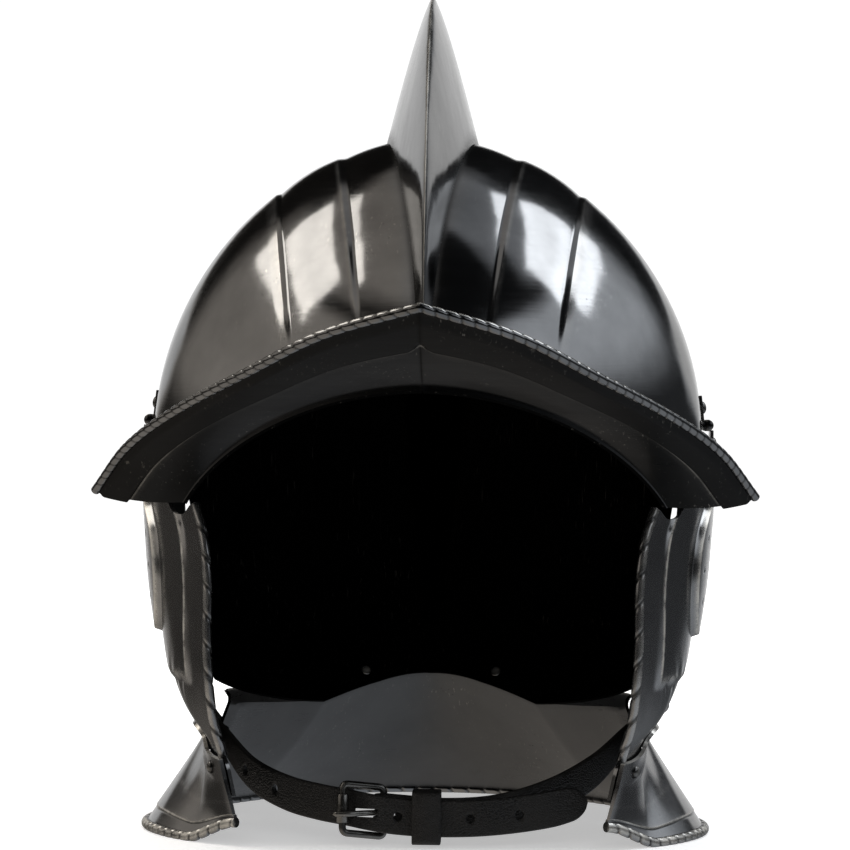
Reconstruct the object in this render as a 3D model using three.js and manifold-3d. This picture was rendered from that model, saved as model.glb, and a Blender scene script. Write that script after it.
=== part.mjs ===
// Open burgonet of blackened steel: a combed skull with a pointed peak, a riveted neck guard,
// two hinged cheekpieces with pierced ear bosses and flared lower lames, and a buckled chin strap.
// Millimetres, +Z up, face toward -Y. The rims of the lames and the neck guard stand on z = 0.
import * as THREE from 'three';
import { mergeVertices } from 'three/addons/utils/BufferGeometryUtils.js';
import Module from 'manifold-3d';

const wasm = await Module();
wasm.setup();

// Plate and fit
const steel = 1.5;
const gap = 0.35;
const beadRadius = 2.6;
const restCut = 0.35;

// Skull: each section lies in a plane that turns about a cross axis through (axisY, axisZ)
const axisY = -10;
const axisZ = 90;
const browAngle = 38.5;
const napeAngle = 198;
const napeCornerAngle = 222;
const skullStations = [
  { angle: 37.0, radius: 136.5, halfWidth: 101.6, centre: 20, rim: 66 },
  { angle: 38.5, radius: 138.0, halfWidth: 102.0, centre: 22, rim: 66 },
  { angle: 55, radius: 157.5, halfWidth: 105.0, centre: 42, rim: 63 },
  { angle: 72, radius: 173.2, halfWidth: 107.3, centre: 60, rim: 61 },
  { angle: 90, radius: 184.0, halfWidth: 107.6, centre: 70, rim: 60 },
  { angle: 108, radius: 184.8, halfWidth: 107.6, centre: 66, rim: 64 },
  { angle: 126, radius: 176.5, halfWidth: 106.5, centre: 50, rim: 72 },
  { angle: 144, radius: 160.0, halfWidth: 105.0, centre: 34, rim: 70 },
  { angle: 162, radius: 138.0, halfWidth: 103.0, centre: 23, rim: 60 },
  { angle: 180, radius: 122.0, halfWidth: 101.5, centre: 20, rim: 55 },
  { angle: 198, radius: 110.0, halfWidth: 99.0, centre: 20, rim: 55 },
  { angle: 222, radius: 99.0, halfWidth: 94.5, centre: 20, rim: 66 },
];

// Two stepped flutes on each side, as fractions of the half-width
const sectionPower = 1.9;
const fluteStep = 1.1;
const fluteGap = 0.9;
const fluteStations = [
  { angle: 37, first: 0.22, second: 0.48, depth: 0 },
  { angle: 46, first: 0.24, second: 0.49, depth: 0.25 },
  { angle: 60, first: 0.28, second: 0.52, depth: 1 },
  { angle: 90, first: 0.345, second: 0.57, depth: 1 },
  { angle: 130, first: 0.33, second: 0.56, depth: 1 },
  { angle: 175, first: 0.26, second: 0.5, depth: 0.6 },
  { angle: 198, first: 0.22, second: 0.46, depth: 0 },
  { angle: 222, first: 0.22, second: 0.46, depth: 0 },
];

// Comb: height over the skull and half-width at its foot
const combStations = [
  { angle: 39.5, height: 0.8, foot: 1 },
  { angle: 47, height: 9, foot: 2.6 },
  { angle: 56, height: 22, foot: 4.8 },
  { angle: 66, height: 36.5, foot: 8.2 },
  { angle: 78, height: 49.5, foot: 12.8 },
  { angle: 92, height: 57, foot: 17.6 },
  { angle: 108, height: 56.5, foot: 20.6 },
  { angle: 126, height: 49.5, foot: 20 },
  { angle: 144, height: 38, foot: 16 },
  { angle: 162, height: 23, foot: 11 },
  { angle: 178, height: 10, foot: 6.5 },
  { angle: 191, height: 1.2, foot: 2.6 },
];
const combEnds = { brow: 39.5, nape: 191 };
const combSwell = 0.78;
const combWall = 1.5;
const combRidgeWall = 4.5;
const crownRadius = 75;

// Peak: its turned edge seen from above and the front, and the step of its sunk border
const peakEdge = [
  { across: 0, x: 0, y: -180, z: 203.4 },
  { across: 0.3, x: 35, y: -168, z: 193.4 },
  { across: 0.55, x: 63, y: -147.5, z: 180 },
  { across: 0.8, x: 94, y: -113, z: 164.5 },
  { across: 0.92, x: 113, y: -87, z: 151.5 },
  { across: 1, x: 127, y: -62, z: 135 },
];
const peakReach = 62;
const peakSag = 3.2;
const peakBorder = 0.6;
const borderSink = 1.5;

// Neck guard: a band riveted over the nape, then a flare to a turned rim
const guardBand = 9;
const bandGap = 0.6;
const guardHalfWidth = 101;
const guardFront = 47;
const guardBack = 156;
const guardSpread = 78;
const guardReach = 74;
const guardHollow = 6;
const guardRimDrop = 1.45;

// Cheekpiece: half-width, front edge and rear edge at each height; its plan is part of an ellipse
const cheekMidY = 5;
const cheekBackLength = 120;
const borderWidth = 9;
const borderArc = 15;
const beadFootZ = 35;
const cheekFootFront = 19;
const cheekFootSide = 28;
const panelFoot = 62;
const cheekStations = [
  { z: 16, halfWidth: 86.6, frontX: 72.5, frontY: -68.5, rearY: 34 },
  { z: 30, halfWidth: 87, frontX: 75.5, frontY: -70, rearY: 36 },
  { z: 37, halfWidth: 87.8, frontX: 77.2, frontY: -71, rearY: 38 },
  { z: 45, halfWidth: 94.4, frontX: 79.5, frontY: -72, rearY: 40 },
  { z: 54, halfWidth: 99.4, frontX: 81, frontY: -73.5, rearY: 43 },
  { z: 67, halfWidth: 103.4, frontX: 82, frontY: -75, rearY: 47 },
  { z: 80, halfWidth: 105.6, frontX: 82.5, frontY: -75, rearY: 49.5 },
  { z: 99, halfWidth: 108.4, frontX: 82.5, frontY: -74, rearY: 50 },
  { z: 118, halfWidth: 110, frontX: 84.5, frontY: -70.5, rearY: 50 },
  { z: 134, halfWidth: 110.9, frontX: 89.5, frontY: -64, rearY: 50 },
  { z: 160, halfWidth: 111, frontX: 93, frontY: -56, rearY: 50 },
];
const rimClear = 1.3;
const rimClearEnd = -17;
const cheekTop = [
  { along: 0, z: 130.5 },
  { along: 0.17, z: 126.5 },
  { along: 0.25, z: 143 },
  { along: 0.3, z: 148 },
  { along: 0.4, z: 152 },
  { along: 0.47, z: 155.5 },
  { along: 0.8, z: 155.5 },
  { along: 1, z: 149 },
];

// Ear boss: a raised round with a ring of eight holes and one in the middle
const bossY = -5;
const bossZ = 105;
const bossRadius = 27;
const bossRaise = 3.4;
const bossSlope = 4;
const bossLap = 2;
const bossLapSink = 0.3;
const bossSides = 18;
const bossHoles = 8;
const bossRing = 17.5;
const holeRadius = 1.4;

// Lower lame: a band over the foot of the cheekpiece, then a flare to a turned rim
const lameRimWidth = 113.2;
const lameRimLength = 94;
const lameRimFrontX = 70.5;
const lameRimRearY = 36;
const lameGap = 0.95;
const lameReach = 34;
const lameFrontRise = 8;
const lameRimDrop = 2.1;
const lameMidY = 3;
const lameCrease = { front: 24, side: 37 };
const lameTop = { front: 33, side: 42 };

// Rivets: a domed head outside, a shank through the plates, a clenched end inside
const shankRadius = 1.5;
const headRadius = 2.5;
const headHeight = 1.6;
const clenchRadius = 2.2;
const clenchHeight = 0.8;
const seat = 0.4;
const guardRivetAcross = 0.42;

// Hinges: the upper leaf lies on the skull, the lower one on the cheekpiece, with a pin between
const hingeY = -4;
const hingeZ = 162;
const hingeWidth = 18;
const leafThick = 1.1;
const leafTall = 12;
const knuckleRadius = 2.3;
const pinRadius = 1;
const pinHead = 1.7;
const upperLeafTilt = 6;

// Chin strap: two leathers riveted inside the cheekpieces; lean tips the upper edge outward
const strapWidth = 14;
const strapThick = 2.2;
const strapAnchor = { along: 0.7, z: 49, lean: 33, clear: 2.7 };
const longStrapRoute = [
  { x: -84.6, y: -5, z: 42.5, lean: 26 },
  { x: -77, y: -20, z: 34.5, lean: 18 },
  { x: -66.5, y: -34, z: 24.5, lean: 12 },
  { x: -52, y: -48, z: 18.5, lean: 5 },
  { x: -38.5, y: -57.5, z: 16, lean: 0 },
  { x: -29, y: -62.2, z: 14.8, lean: 0 },
  { x: -19.5, y: -66.4, z: 13.4, lean: 0 },
  { x: -11, y: -67.6, z: 12.2, lean: 0 },
  { x: 4, y: -67.7, z: 11.3, lean: 0 },
  { x: 24, y: -67, z: 11.8, lean: 0 },
  { x: 46, y: -63.5, z: 14.4, lean: 0 },
  { x: 63, y: -57.5, z: 18, lean: 0 },
];
const strapHoles = [0.19, 0.29, 0.39, 0.67, 0.77, 0.87];
const strapHoleRadius = 1.6;
const tailTaper = 0.93;
const shortStrapRoute = [
  { x: 84.6, y: -5, z: 43.5, lean: 26 },
  { x: 77, y: -20, z: 36.5, lean: 18 },
  { x: 65, y: -36.5, z: 26.5, lean: 10 },
  { x: 48, y: -50, z: 18, lean: 3 },
  { x: 28, y: -58, z: 12.8, lean: 0 },
  { x: 8, y: -60.4, z: 11.6, lean: 0 },
  { x: -7, y: -58.8, z: 12.4, lean: 0 },
];
const foldReach = 24;

// Buckle: heel bar at the fold, roller on the other side, and a tongue across
const heel = { x: -14.5, y: -61.6, z: 13 };
const roller = { x: -30, y: -66.6, z: 14.8 };
const buckleTall = 21.5;
const wireRadius = 1.4;
const rollerRadius = 2.3;
const rollerLength = 11;
const tongueRadius = 1.1;
const tongueSlot = { x: -20.8, long: 8.6, tall: 3.4 };
const foldSlot = { long: 10, tall: 3.4 };

// Loop that holds the two straps together
const keeper = { x: 2, width: 11, wall: 1.6, back: -57.1, front: -69.4, low: 2.9, high: 20.1 };

const finish = {
  steel: { color: 0x2b2b2e, metalness: 1, roughness: 0.18 },
  leather: { color: 0x121110, metalness: 0, roughness: 0.62 },
};

const radians = (degrees) => (degrees * Math.PI) / 180;
const clamp = (value, low, high) => Math.min(high, Math.max(low, value));
const mix = (a, b, t) => a + (b - a) * t;
const smooth = (value, low, high) => {
  const t = clamp((value - low) / (high - low), 0, 1);
  return t * t * (3 - 2 * t);
};
const signedPower = (value, power) => Math.sign(value) * Math.abs(value) ** power;
const evenly = (count, low = 0, high = 1) =>
  Array.from({ length: count + 1 }, (_, index) => mix(low, high, index / count));

// Smooth curve through one named column of a table
function column(rows, key, name) {
  return (at) => {
    const last = rows.length - 1;
    let index = 0;
    while (index < last - 1 && at > rows[index + 1][key]) index += 1;
    const low = rows[index];
    const high = rows[index + 1];
    const before = rows[Math.max(index - 1, 0)];
    const after = rows[Math.min(index + 2, last)];
    const span = high[key] - low[key];
    const slope = (a, b) => ((b[name] - a[name]) / (b[key] - a[key])) * span;
    const startSlope = slope(before, high);
    const endSlope = slope(low, after);
    const t = clamp((at - low[key]) / span, 0, 1);
    const t2 = t * t;
    const t3 = t2 * t;
    return (
      (2 * t3 - 3 * t2 + 1) * low[name] + (t3 - 2 * t2 + t) * startSlope +
      (3 * t2 - 2 * t3) * high[name] + (t3 - t2) * endSlope
    );
  };
}

function columns(rows, key) {
  const names = Object.keys(rows[0]).filter((name) => name !== key);
  return Object.fromEntries(names.map((name) => [name, column(rows, key, name)]));
}

// Points and triangles to one closed body
function closedGeometry(points, triangles) {
  const geometry = new THREE.BufferGeometry();
  const places = points.flatMap((point) => point.toArray());
  geometry.setAttribute('position', new THREE.Float32BufferAttribute(places, 3));
  geometry.setIndex(triangles);
  return outward(geometry);
}

// Makes the faces point out, judged by the signed volume
function outward(geometry) {
  const position = geometry.getAttribute('position');
  const index = geometry.getIndex();
  const corner = (i) => new THREE.Vector3().fromBufferAttribute(position, index.getX(i));
  let volume = 0;
  for (let i = 0; i < index.count; i += 3) {
    volume += corner(i).dot(corner(i + 1).cross(corner(i + 2)));
  }
  if (volume < 0) {
    for (let i = 0; i < index.count; i += 3) {
      const swap = index.getX(i + 1);
      index.setX(i + 1, index.getX(i + 2));
      index.setX(i + 2, swap);
    }
  }
  return geometry;
}

// A thick plate over a grid: the outer face, the inner face and the four edges
function plate(across, along, outer, inner) {
  const width = across.length;
  const count = width * along.length;
  const points = [];
  along.forEach((v) => across.forEach((u) => points.push(outer(u, v))));
  along.forEach((v) => across.forEach((u) => points.push(inner(u, v))));
  const triangles = [];
  const quad = (a, b, c, d) => triangles.push(a, b, c, a, c, d);
  for (let j = 0; j < along.length - 1; j += 1) {
    for (let i = 0; i < width - 1; i += 1) {
      const a = j * width + i;
      quad(a, a + 1, a + 1 + width, a + width);
      quad(count + a, count + a + width, count + a + 1 + width, count + a + 1);
    }
    const start = j * width;
    const end = start + width - 1;
    quad(start, start + width, count + start + width, count + start);
    quad(end, count + end, count + end + width, end + width);
  }
  for (let i = 0; i < width - 1; i += 1) {
    const far = (along.length - 1) * width + i;
    quad(i, count + i, count + i + 1, i + 1);
    quad(far, far + 1, count + far + 1, count + far);
  }
  return closedGeometry(points, triangles);
}

// A solid through equal rings of points, with fans over its two ends
function loft(rings) {
  const size = rings[0].length;
  const points = rings.flat();
  const triangles = [];
  for (let ring = 0; ring < rings.length - 1; ring += 1) {
    for (let i = 0; i < size; i += 1) {
      const a = ring * size + i;
      const b = ring * size + ((i + 1) % size);
      triangles.push(a, b, b + size, a, b + size, a + size);
    }
  }
  const cap = (start, flip) => {
    const middle = points.length;
    const centre = new THREE.Vector3();
    for (let i = 0; i < size; i += 1) centre.addScaledVector(points[start + i], 1 / size);
    points.push(centre);
    for (let i = 0; i < size; i += 1) {
      const a = start + i;
      const b = start + ((i + 1) % size);
      triangles.push(...(flip ? [middle, b, a] : [middle, a, b]));
    }
  };
  cap(0, true);
  cap((rings.length - 1) * size, false);
  return closedGeometry(points, triangles);
}

// Normal of a surface by small steps along its two directions
function normalOf(surface, u, v, step = 0.01) {
  const alongU = surface(u + step, v).sub(surface(u - step, v));
  const alongV = surface(u, v + step).sub(surface(u, v - step));
  return alongU.cross(alongV).normalize();
}

// Plates to solids for joining and cutting, and back
function toSolid(geometry) {
  const bare = geometry.clone();
  bare.deleteAttribute('normal');
  bare.deleteAttribute('uv');
  const merged = mergeVertices(bare, 1e-4);
  return new wasm.Manifold(new wasm.Mesh({
    numProp: 3,
    vertProperties: new Float32Array(merged.getAttribute('position').array),
    triVerts: new Uint32Array(merged.getIndex().array),
  }));
}

function toGeometry(solid) {
  const mesh = solid.getMesh();
  const geometry = new THREE.BufferGeometry();
  const places = Float32Array.from(mesh.vertProperties);
  geometry.setAttribute('position', new THREE.BufferAttribute(places, 3));
  geometry.setIndex(Array.from(mesh.triVerts));
  return geometry;
}

const cut = (solid, tools) => tools.reduce((rest, tool) => rest.subtract(toSolid(tool)), solid);

// Turns a lathe or cylinder, made about +Y, to lie along a direction at a place
function place(geometry, at, direction) {
  const turn = new THREE.Quaternion().setFromUnitVectors(new THREE.Vector3(0, 1, 0), direction);
  return geometry.applyQuaternion(turn).translate(at.x, at.y, at.z);
}

function bore(at, direction, radius, length, segments = 6) {
  return place(new THREE.CylinderGeometry(radius, radius, length, segments), at, direction);
}

// Everything below z = 0 is cut away, which leaves flats to stand on
function standing(solid) {
  const ground = new THREE.BoxGeometry(500, 500, 20).translate(0, 0, -10);
  return solid.subtract(toSolid(ground));
}

const skull = columns(skullStations, 'angle');
const flute = columns(fluteStations, 'angle');

function fanPoint(angle, radius, x) {
  const turn = radians(angle);
  return new THREE.Vector3(x, axisY - radius * Math.cos(turn), axisZ + radius * Math.sin(turn));
}

// Point on the skull: lane runs -3..3 over the three panels of each side, whole numbers at the flutes
function skullPoint(lane, angle, lift = 0) {
  const radius = skull.radius(angle);
  const centre = skull.centre(angle);
  const halfWidth = skull.halfWidth(angle);
  const rimPart = (skull.rim(angle) - centre) / (radius - centre);
  const end = Math.acos(signedPower(rimPart, sectionPower / 2));
  const lineAt = (fraction) => Math.asin(fraction ** (sectionPower / 2));
  const knots = [0, lineAt(flute.first(angle)), lineAt(flute.second(angle)), end];
  const side = Math.abs(lane);
  const panel = Math.min(Math.floor(side), 2);
  const part = side - panel;
  const lean = mix(knots[panel], knots[panel + 1], part);
  const step = fluteStep * flute.depth(angle);
  const raise = lift - (panel < 2 ? step * part : 0);
  const x = (halfWidth + raise) * Math.sin(lean) ** (2 / sectionPower) * Math.sign(lane || 1);
  const rise = (radius - centre + raise) * signedPower(Math.cos(lean), 2 / sectionPower);
  return fanPoint(angle, centre + rise, x);
}

// Lanes of the skull's grid, closely paired at the flutes
const nick = fluteGap / 30;
const halfLanes = [0.16, 0.6, 1 - nick, 1 + nick, 2 - nick, 2 + nick, 2.32, 2.64, 3];
const skullLanes = [...halfLanes.map((lane) => -lane).reverse(), ...halfLanes];

function skullShell() {
  const steps = evenly(14);
  const angleAt = (lane, v) => {
    const end = mix(napeAngle, napeCornerAngle, (Math.abs(lane) / 3) ** 2);
    return mix(browAngle - 1, end, v);
  };
  const outer = (lane, v) => skullPoint(lane, angleAt(lane, v));
  const inner = (lane, v) => skullPoint(lane, angleAt(lane, v), -steel);
  return plate(skullLanes, steps, outer, inner);
}

const comb = columns(combStations, 'angle');

// Comb section: two hollow-ground flanks that meet in a ridge; the foot follows the skull's round
// crown down and sinks into it
function combRing(angle, wall, ridgeWall, depth) {
  const base = skull.radius(angle);
  const height = comb.height(angle) - ridgeWall;
  const foot = comb.foot(angle) - wall;
  const sink = comb.foot(angle) ** 2 / (2 * crownRadius) + depth;
  const flank = [0.08, 0.25, 0.55, 1].map((drop) => ({
    x: foot * drop ** combSwell,
    radius: base + height * (1 - drop),
  }));
  const right = [...flank, { x: foot, radius: base - sink }];
  const ring = [fanPoint(angle, base + height, 0)];
  right.forEach((p) => ring.push(fanPoint(angle, p.radius, p.x)));
  [...right].reverse().forEach((p) => ring.push(fanPoint(angle, p.radius, -p.x)));
  return ring;
}

function combSolid() {
  const angles = evenly(15, combEnds.brow, combEnds.nape);
  const outer = angles.map((angle) => combRing(angle, 0, 0, steel / 2));
  const hollow = evenly(11, angles[2], angles[13])
    .map((angle) => combRing(angle, combWall, combRidgeWall, 2 * steel));
  return { outer: loft(outer), hollow: loft(hollow) };
}

// The peak springs from the brow line and runs out to its turned edge
const edge = columns(peakEdge, 'across');

function peakPoint(across, out) {
  const side = Math.abs(across);
  const root = skullPoint(3 * side * 0.999, browAngle, -steel / 2);
  const tip = new THREE.Vector3(edge.x(side), edge.y(side), edge.z(side));
  const point = root.lerp(tip, out);
  point.z -= peakSag * Math.sin(Math.PI * clamp(out, 0, 1)) * (1 - 0.5 * side);
  point.x *= Math.sign(across || 1);
  return point;
}

// Half-thickness of a plate near a turned edge, from the distance to the edge
const beadProfile = [
  { distance: 0, half: 1.2 },
  { distance: 1.3, half: beadRadius },
  { distance: 3.9, half: beadRadius },
  { distance: 5.2, half: steel / 2 },
];

function beadHalf(distance) {
  const last = beadProfile.length - 1;
  if (distance >= beadProfile[last].distance) return steel / 2;
  let index = 0;
  while (distance > beadProfile[index + 1].distance) index += 1;
  const low = beadProfile[index];
  const high = beadProfile[index + 1];
  return mix(low.half, high.half, (distance - low.distance) / (high.distance - low.distance));
}

function peakPlate() {
  const edgeRows = beadProfile.map((row) => 1 - row.distance / peakReach).reverse();
  const [stepIn, stepOut] = [peakBorder - 0.02, peakBorder + 0.03];
  const rows = [0, 0.3, stepIn, stepOut, 0.78, ...edgeRows];
  const halfSpan = [0.1, 0.22, 0.36, 0.5, 0.63, 0.75, 0.85, 0.93, 1];
  const lanes = [...halfSpan.map((lane) => -lane).reverse(), 0, ...halfSpan];
  const face = (side) => (across, out) => {
    const normal = normalOf(peakPoint, clamp(across, -0.985, 0.985), out);
    const sunk = borderSink * smooth(out, stepIn, stepOut) * (1 - smooth(out, 0.84, 0.92));
    const half = beadHalf((1 - out) * peakReach);
    return peakPoint(across, out).addScaledVector(normal, side * half + sunk * downward(normal));
  };
  return plate(lanes, rows, face(1), face(-1));
}

const downward = (normal) => (normal.z > 0 ? -1 : 1);

// Neck guard: the band hugs the nape, the flare runs on from its crease
function guardPoint(across, down) {
  const lane = 3 * across;
  const corner = mix(napeAngle, napeCornerAngle, across * across);
  const lift = bandGap + steel;
  if (down <= 0) {
    return skullPoint(lane, corner + (guardBand / 115) * (180 / Math.PI) * down - 1, lift);
  }
  const crease = skullPoint(lane, corner - 1, lift);
  const spread = radians(guardSpread * across);
  const open = 1 - Math.cos(radians(guardSpread));
  const rim = new THREE.Vector3(
    guardHalfWidth * (Math.sin(spread) / Math.sin(radians(guardSpread))),
    mix(guardFront, guardBack, 1 - (1 - Math.cos(spread)) / open),
    beadRadius - restCut - guardRimDrop,
  );
  const hollow = guardHollow * Math.sin(Math.PI * down);
  const point = crease.lerp(rim, down);
  point.z -= hollow * 0.5;
  point.y -= hollow * 0.5 * Math.cos(spread);
  return point;
}

function guardPlate() {
  const edgeRows = beadProfile.map((row) => 1 - row.distance / guardReach).reverse();
  const rows = [-1, 0, 0.08, 0.3, 0.55, 0.8, ...edgeRows];
  const halfSpan = halfLanes.filter((lane) => lane < 1 || lane > 1.5).map((lane) => lane / 3);
  const lanes = [...halfSpan.map((lane) => -lane).reverse(), ...halfSpan];
  const face = (side) => (across, down) => {
    const at = clamp(down, -1, 0.985);
    const normal = normalOf(guardPoint, clamp(across, -0.985, 0.985), at);
    const half = beadHalf((1 - down) * guardReach);
    const shift = down > 0.9 ? 0 : -steel / 2;
    return guardPoint(across, down).addScaledVector(normal, side * half + shift);
  };
  return plate(lanes, rows, face(1), face(-1));
}

// Cheekpiece plan at one height; along runs 0..1 from the front edge to the rear edge
const cheek = columns(cheekStations, 'z');
const ridgeAt = 0.17;
const ridgeNick = 0.012;

function cheekPoint(along, z, lift = 0) {
  const halfWidth = cheek.halfWidth(z);
  const frontX = cheek.frontX(z);
  const front = Math.asin(frontX / halfWidth);
  const ridge = Math.asin(Math.min((frontX + borderWidth) / halfWidth, 0.985));
  const rear = Math.PI / 2 + Math.asin((cheek.rearY(z) - cheekMidY) / cheekBackLength);
  const turn = along < ridgeAt
    ? mix(front, ridge, along / ridgeAt)
    : mix(ridge, rear, (along - ridgeAt) / (1 - ridgeAt));
  const frontLength = (cheekMidY - cheek.frontY(z)) / Math.cos(front);
  const length = turn < Math.PI / 2 ? frontLength : cheekBackLength;
  return new THREE.Vector3(
    (halfWidth + lift) * Math.sin(turn),
    cheekMidY - (length + lift) * Math.cos(turn),
    z,
  );
}

// Height of the skull's side rim at a distance along Y
function skullRimZ(y) {
  let [low, high] = [browAngle, 120];
  for (let i = 0; i < 20; i += 1) {
    const middle = (low + high) / 2;
    if (skullPoint(3, middle).y < y) low = middle;
    else high = middle;
  }
  return skullPoint(3, low).z;
}

// The front of the top edge follows the skull's rim, the rest laps over it
const cheekTopShape = column(cheekTop, 'along', 'z');

function cheekTopZ(along) {
  const wanted = cheekTopShape(along);
  const y = cheekPoint(along, wanted).y;
  return y < rimClearEnd ? Math.min(wanted, skullRimZ(y) - rimClear) : wanted;
}

// Depth of the outer face below the raised main panel
function cheekSink(along, z) {
  const panel = smooth(along, ridgeAt - ridgeNick, ridgeAt + ridgeNick);
  const raised = smooth(z, panelFoot - 2, panelFoot + 2);
  return borderSink * (1 - panel * raised);
}

const cheekLanes = [
  0.11, ridgeAt - ridgeNick, ridgeAt + ridgeNick, 0.25, 0.32, 0.4, 0.47, ...evenly(4, 0.57, 1),
];
const cheekLevels = [31, 37, 42, 50, panelFoot - 2, panelFoot + 2];
const cheekPanelRows = 4;

function cheekPlate() {
  const bead = beadProfile.map((row) => (row.distance / borderArc) * ridgeAt);
  const lanes = [...bead, ...cheekLanes];
  const last = cheekLevels.length;
  const rows = evenly(last + cheekPanelRows, 0, last + cheekPanelRows);
  const height = (along, row) => {
    if (row === 0) return mix(cheekFootFront, cheekFootSide, smooth(along, 0.1, 0.45));
    if (row <= last) return cheekLevels[row - 1];
    return mix(cheekLevels[last - 1], cheekTopZ(along), (row - last) / cheekPanelRows);
  };
  const face = (side) => (along, row) => {
    const z = height(along, row);
    const bare = 1 - smooth(z, beadFootZ, beadFootZ + 4);
    const half = mix(beadHalf((along / ridgeAt) * borderArc), steel / 2, bare);
    return cheekPoint(along, z, side * half - steel / 2 - cheekSink(along, z));
  };
  return plate(lanes, rows, face(1), face(-1));
}

// Ear boss over the cheekpiece face: a round patch, flush at its edge and raised inside
function cheekFace(y, z, lift) {
  const halfWidth = cheek.halfWidth(z);
  const front = Math.asin(cheek.frontX(z) / halfWidth);
  const frontLength = (cheekMidY - cheek.frontY(z)) / Math.cos(front);
  const length = y < cheekMidY ? frontLength : cheekBackLength;
  const part = (cheekMidY - y) / length;
  return new THREE.Vector3((halfWidth + lift) * Math.sqrt(1 - part * part), y, z);
}

function bossPatch() {
  const rings = [0, bossRing - 5.5, bossRadius - bossSlope, bossRadius, bossRadius + bossLap];
  const segments = bossSides;
  const raise = (radius) => bossRaise * (1 - smooth(radius, bossRadius - bossSlope, bossRadius));
  const points = [];
  const triangles = [];
  const layer = (depth, edgeDepth) => {
    const start = points.length;
    rings.forEach((radius) => {
      const deep = radius > bossRadius ? edgeDepth : depth;
      const count = radius === 0 ? 1 : segments;
      for (let i = 0; i < count; i += 1) {
        const turn = (i / segments) * 2 * Math.PI;
        const y = bossY + radius * Math.cos(turn);
        points.push(cheekFace(y, bossZ + radius * Math.sin(turn), raise(radius) - deep));
      }
    });
    return start;
  };
  const top = layer(0, bossLapSink);
  const under = layer(steel, steel - bossLapSink);
  const at = (start, ring, i) => {
    if (ring === 0) return start;
    return start + 1 + (ring - 1) * segments + (i % segments);
  };
  const last = rings.length - 1;
  for (let i = 0; i < segments; i += 1) {
    triangles.push(top, at(top, 1, i), at(top, 1, i + 1));
    triangles.push(under, at(under, 1, i + 1), at(under, 1, i));
    for (let ring = 1; ring < last; ring += 1) {
      const [a, b] = [at(top, ring, i), at(top, ring, i + 1)];
      const [c, d] = [at(top, ring + 1, i + 1), at(top, ring + 1, i)];
      triangles.push(a, d, c, a, c, b);
      const [e, f] = [at(under, ring, i), at(under, ring, i + 1)];
      const [g, h] = [at(under, ring + 1, i + 1), at(under, ring + 1, i)];
      triangles.push(e, g, h, e, f, g);
    }
    const [a, b] = [at(top, last, i), at(top, last, i + 1)];
    const [c, d] = [at(under, last, i + 1), at(under, last, i)];
    triangles.push(a, d, c, a, c, b);
  }
  return closedGeometry(points, triangles);
}

const sideways = new THREE.Vector3(1, 0, 0);

function cheekSolid() {
  const centre = new THREE.Vector3(110, bossY, bossZ);
  const well = bore(centre, sideways, bossRadius + bossLap / 2, 40, bossSides);
  const pierced = cut(toSolid(cheekPlate()), [well]).add(toSolid(bossPatch()));
  const holes = [bore(centre, sideways, holeRadius, 40)];
  for (let i = 0; i < bossHoles; i += 1) {
    const turn = (i / bossHoles) * 2 * Math.PI;
    const y = bossY + bossRing * Math.cos(turn);
    const z = bossZ + bossRing * Math.sin(turn);
    holes.push(bore(new THREE.Vector3(centre.x, y, z), sideways, holeRadius, 40));
  }
  return cut(pierced, holes);
}

// Height of the lame's outer face above the sunk border of the cheekpiece
const lameLift = lameGap + steel - borderSink;

// Lower lame: along 0..1 from front to rear, down below 0 on the band and 0..1 on the flare
function lamePoint(along, down) {
  const toSide = smooth(along, 0.05, 0.5);
  const creaseZ = mix(lameCrease.front, lameCrease.side, toSide);
  const topZ = mix(lameTop.front, lameTop.side, toSide);
  if (down <= 0) return cheekPoint(along, mix(creaseZ, topZ, -down), lameLift);
  const crease = cheekPoint(along, creaseZ, lameLift);
  const front = Math.asin(lameRimFrontX / lameRimWidth);
  const rear = Math.PI / 2 + Math.asin((lameRimRearY - lameMidY) / lameRimLength);
  const turn = mix(front, rear, along);
  const frontRise = lameFrontRise * (1 - smooth(along, 0, 0.22));
  const rim = new THREE.Vector3(
    lameRimWidth * Math.sin(turn),
    lameMidY - lameRimLength * Math.cos(turn),
    beadRadius - restCut - lameRimDrop + frontRise,
  );
  return crease.lerp(rim, down);
}

function lamePlate() {
  const edgeRows = beadProfile.map((row) => 1 - row.distance / lameReach).reverse();
  const rows = [-1, 0, 0.14, 0.5, ...edgeRows];
  const lanes = [0, ...cheekLanes];
  const face = (side) => (along, down) => {
    const at = clamp(down, -1, 0.985);
    const normal = normalOf(lamePoint, clamp(along, 0.015, 0.985), at);
    const half = beadHalf((1 - down) * lameReach);
    const shift = down > 0.8 ? 0 : -steel / 2;
    const offset = (side * half + shift) * outwardSign(normal);
    return lamePoint(along, down).addScaledVector(normal, offset);
  };
  return plate(lanes, rows, face(1), face(-1));
}

const outwardSign = (normal) => (normal.x > 0 ? 1 : -1);

const group = new THREE.Group();

function addPiece(name, geometry, look) {
  geometry.computeVertexNormals();
  const mesh = new THREE.Mesh(geometry, new THREE.MeshStandardMaterial(finish[look]));
  mesh.name = name;
  group.add(mesh);
}

// Mirrors a right-hand piece to the other side
const mirrored = (geometry) => outward(geometry.clone().scale(-1, 1, 1));

function addPair(name, geometry, look) {
  addPiece(`${name}_right`, geometry, look);
  addPiece(`${name}_left`, mirrored(geometry), look);
}

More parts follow.
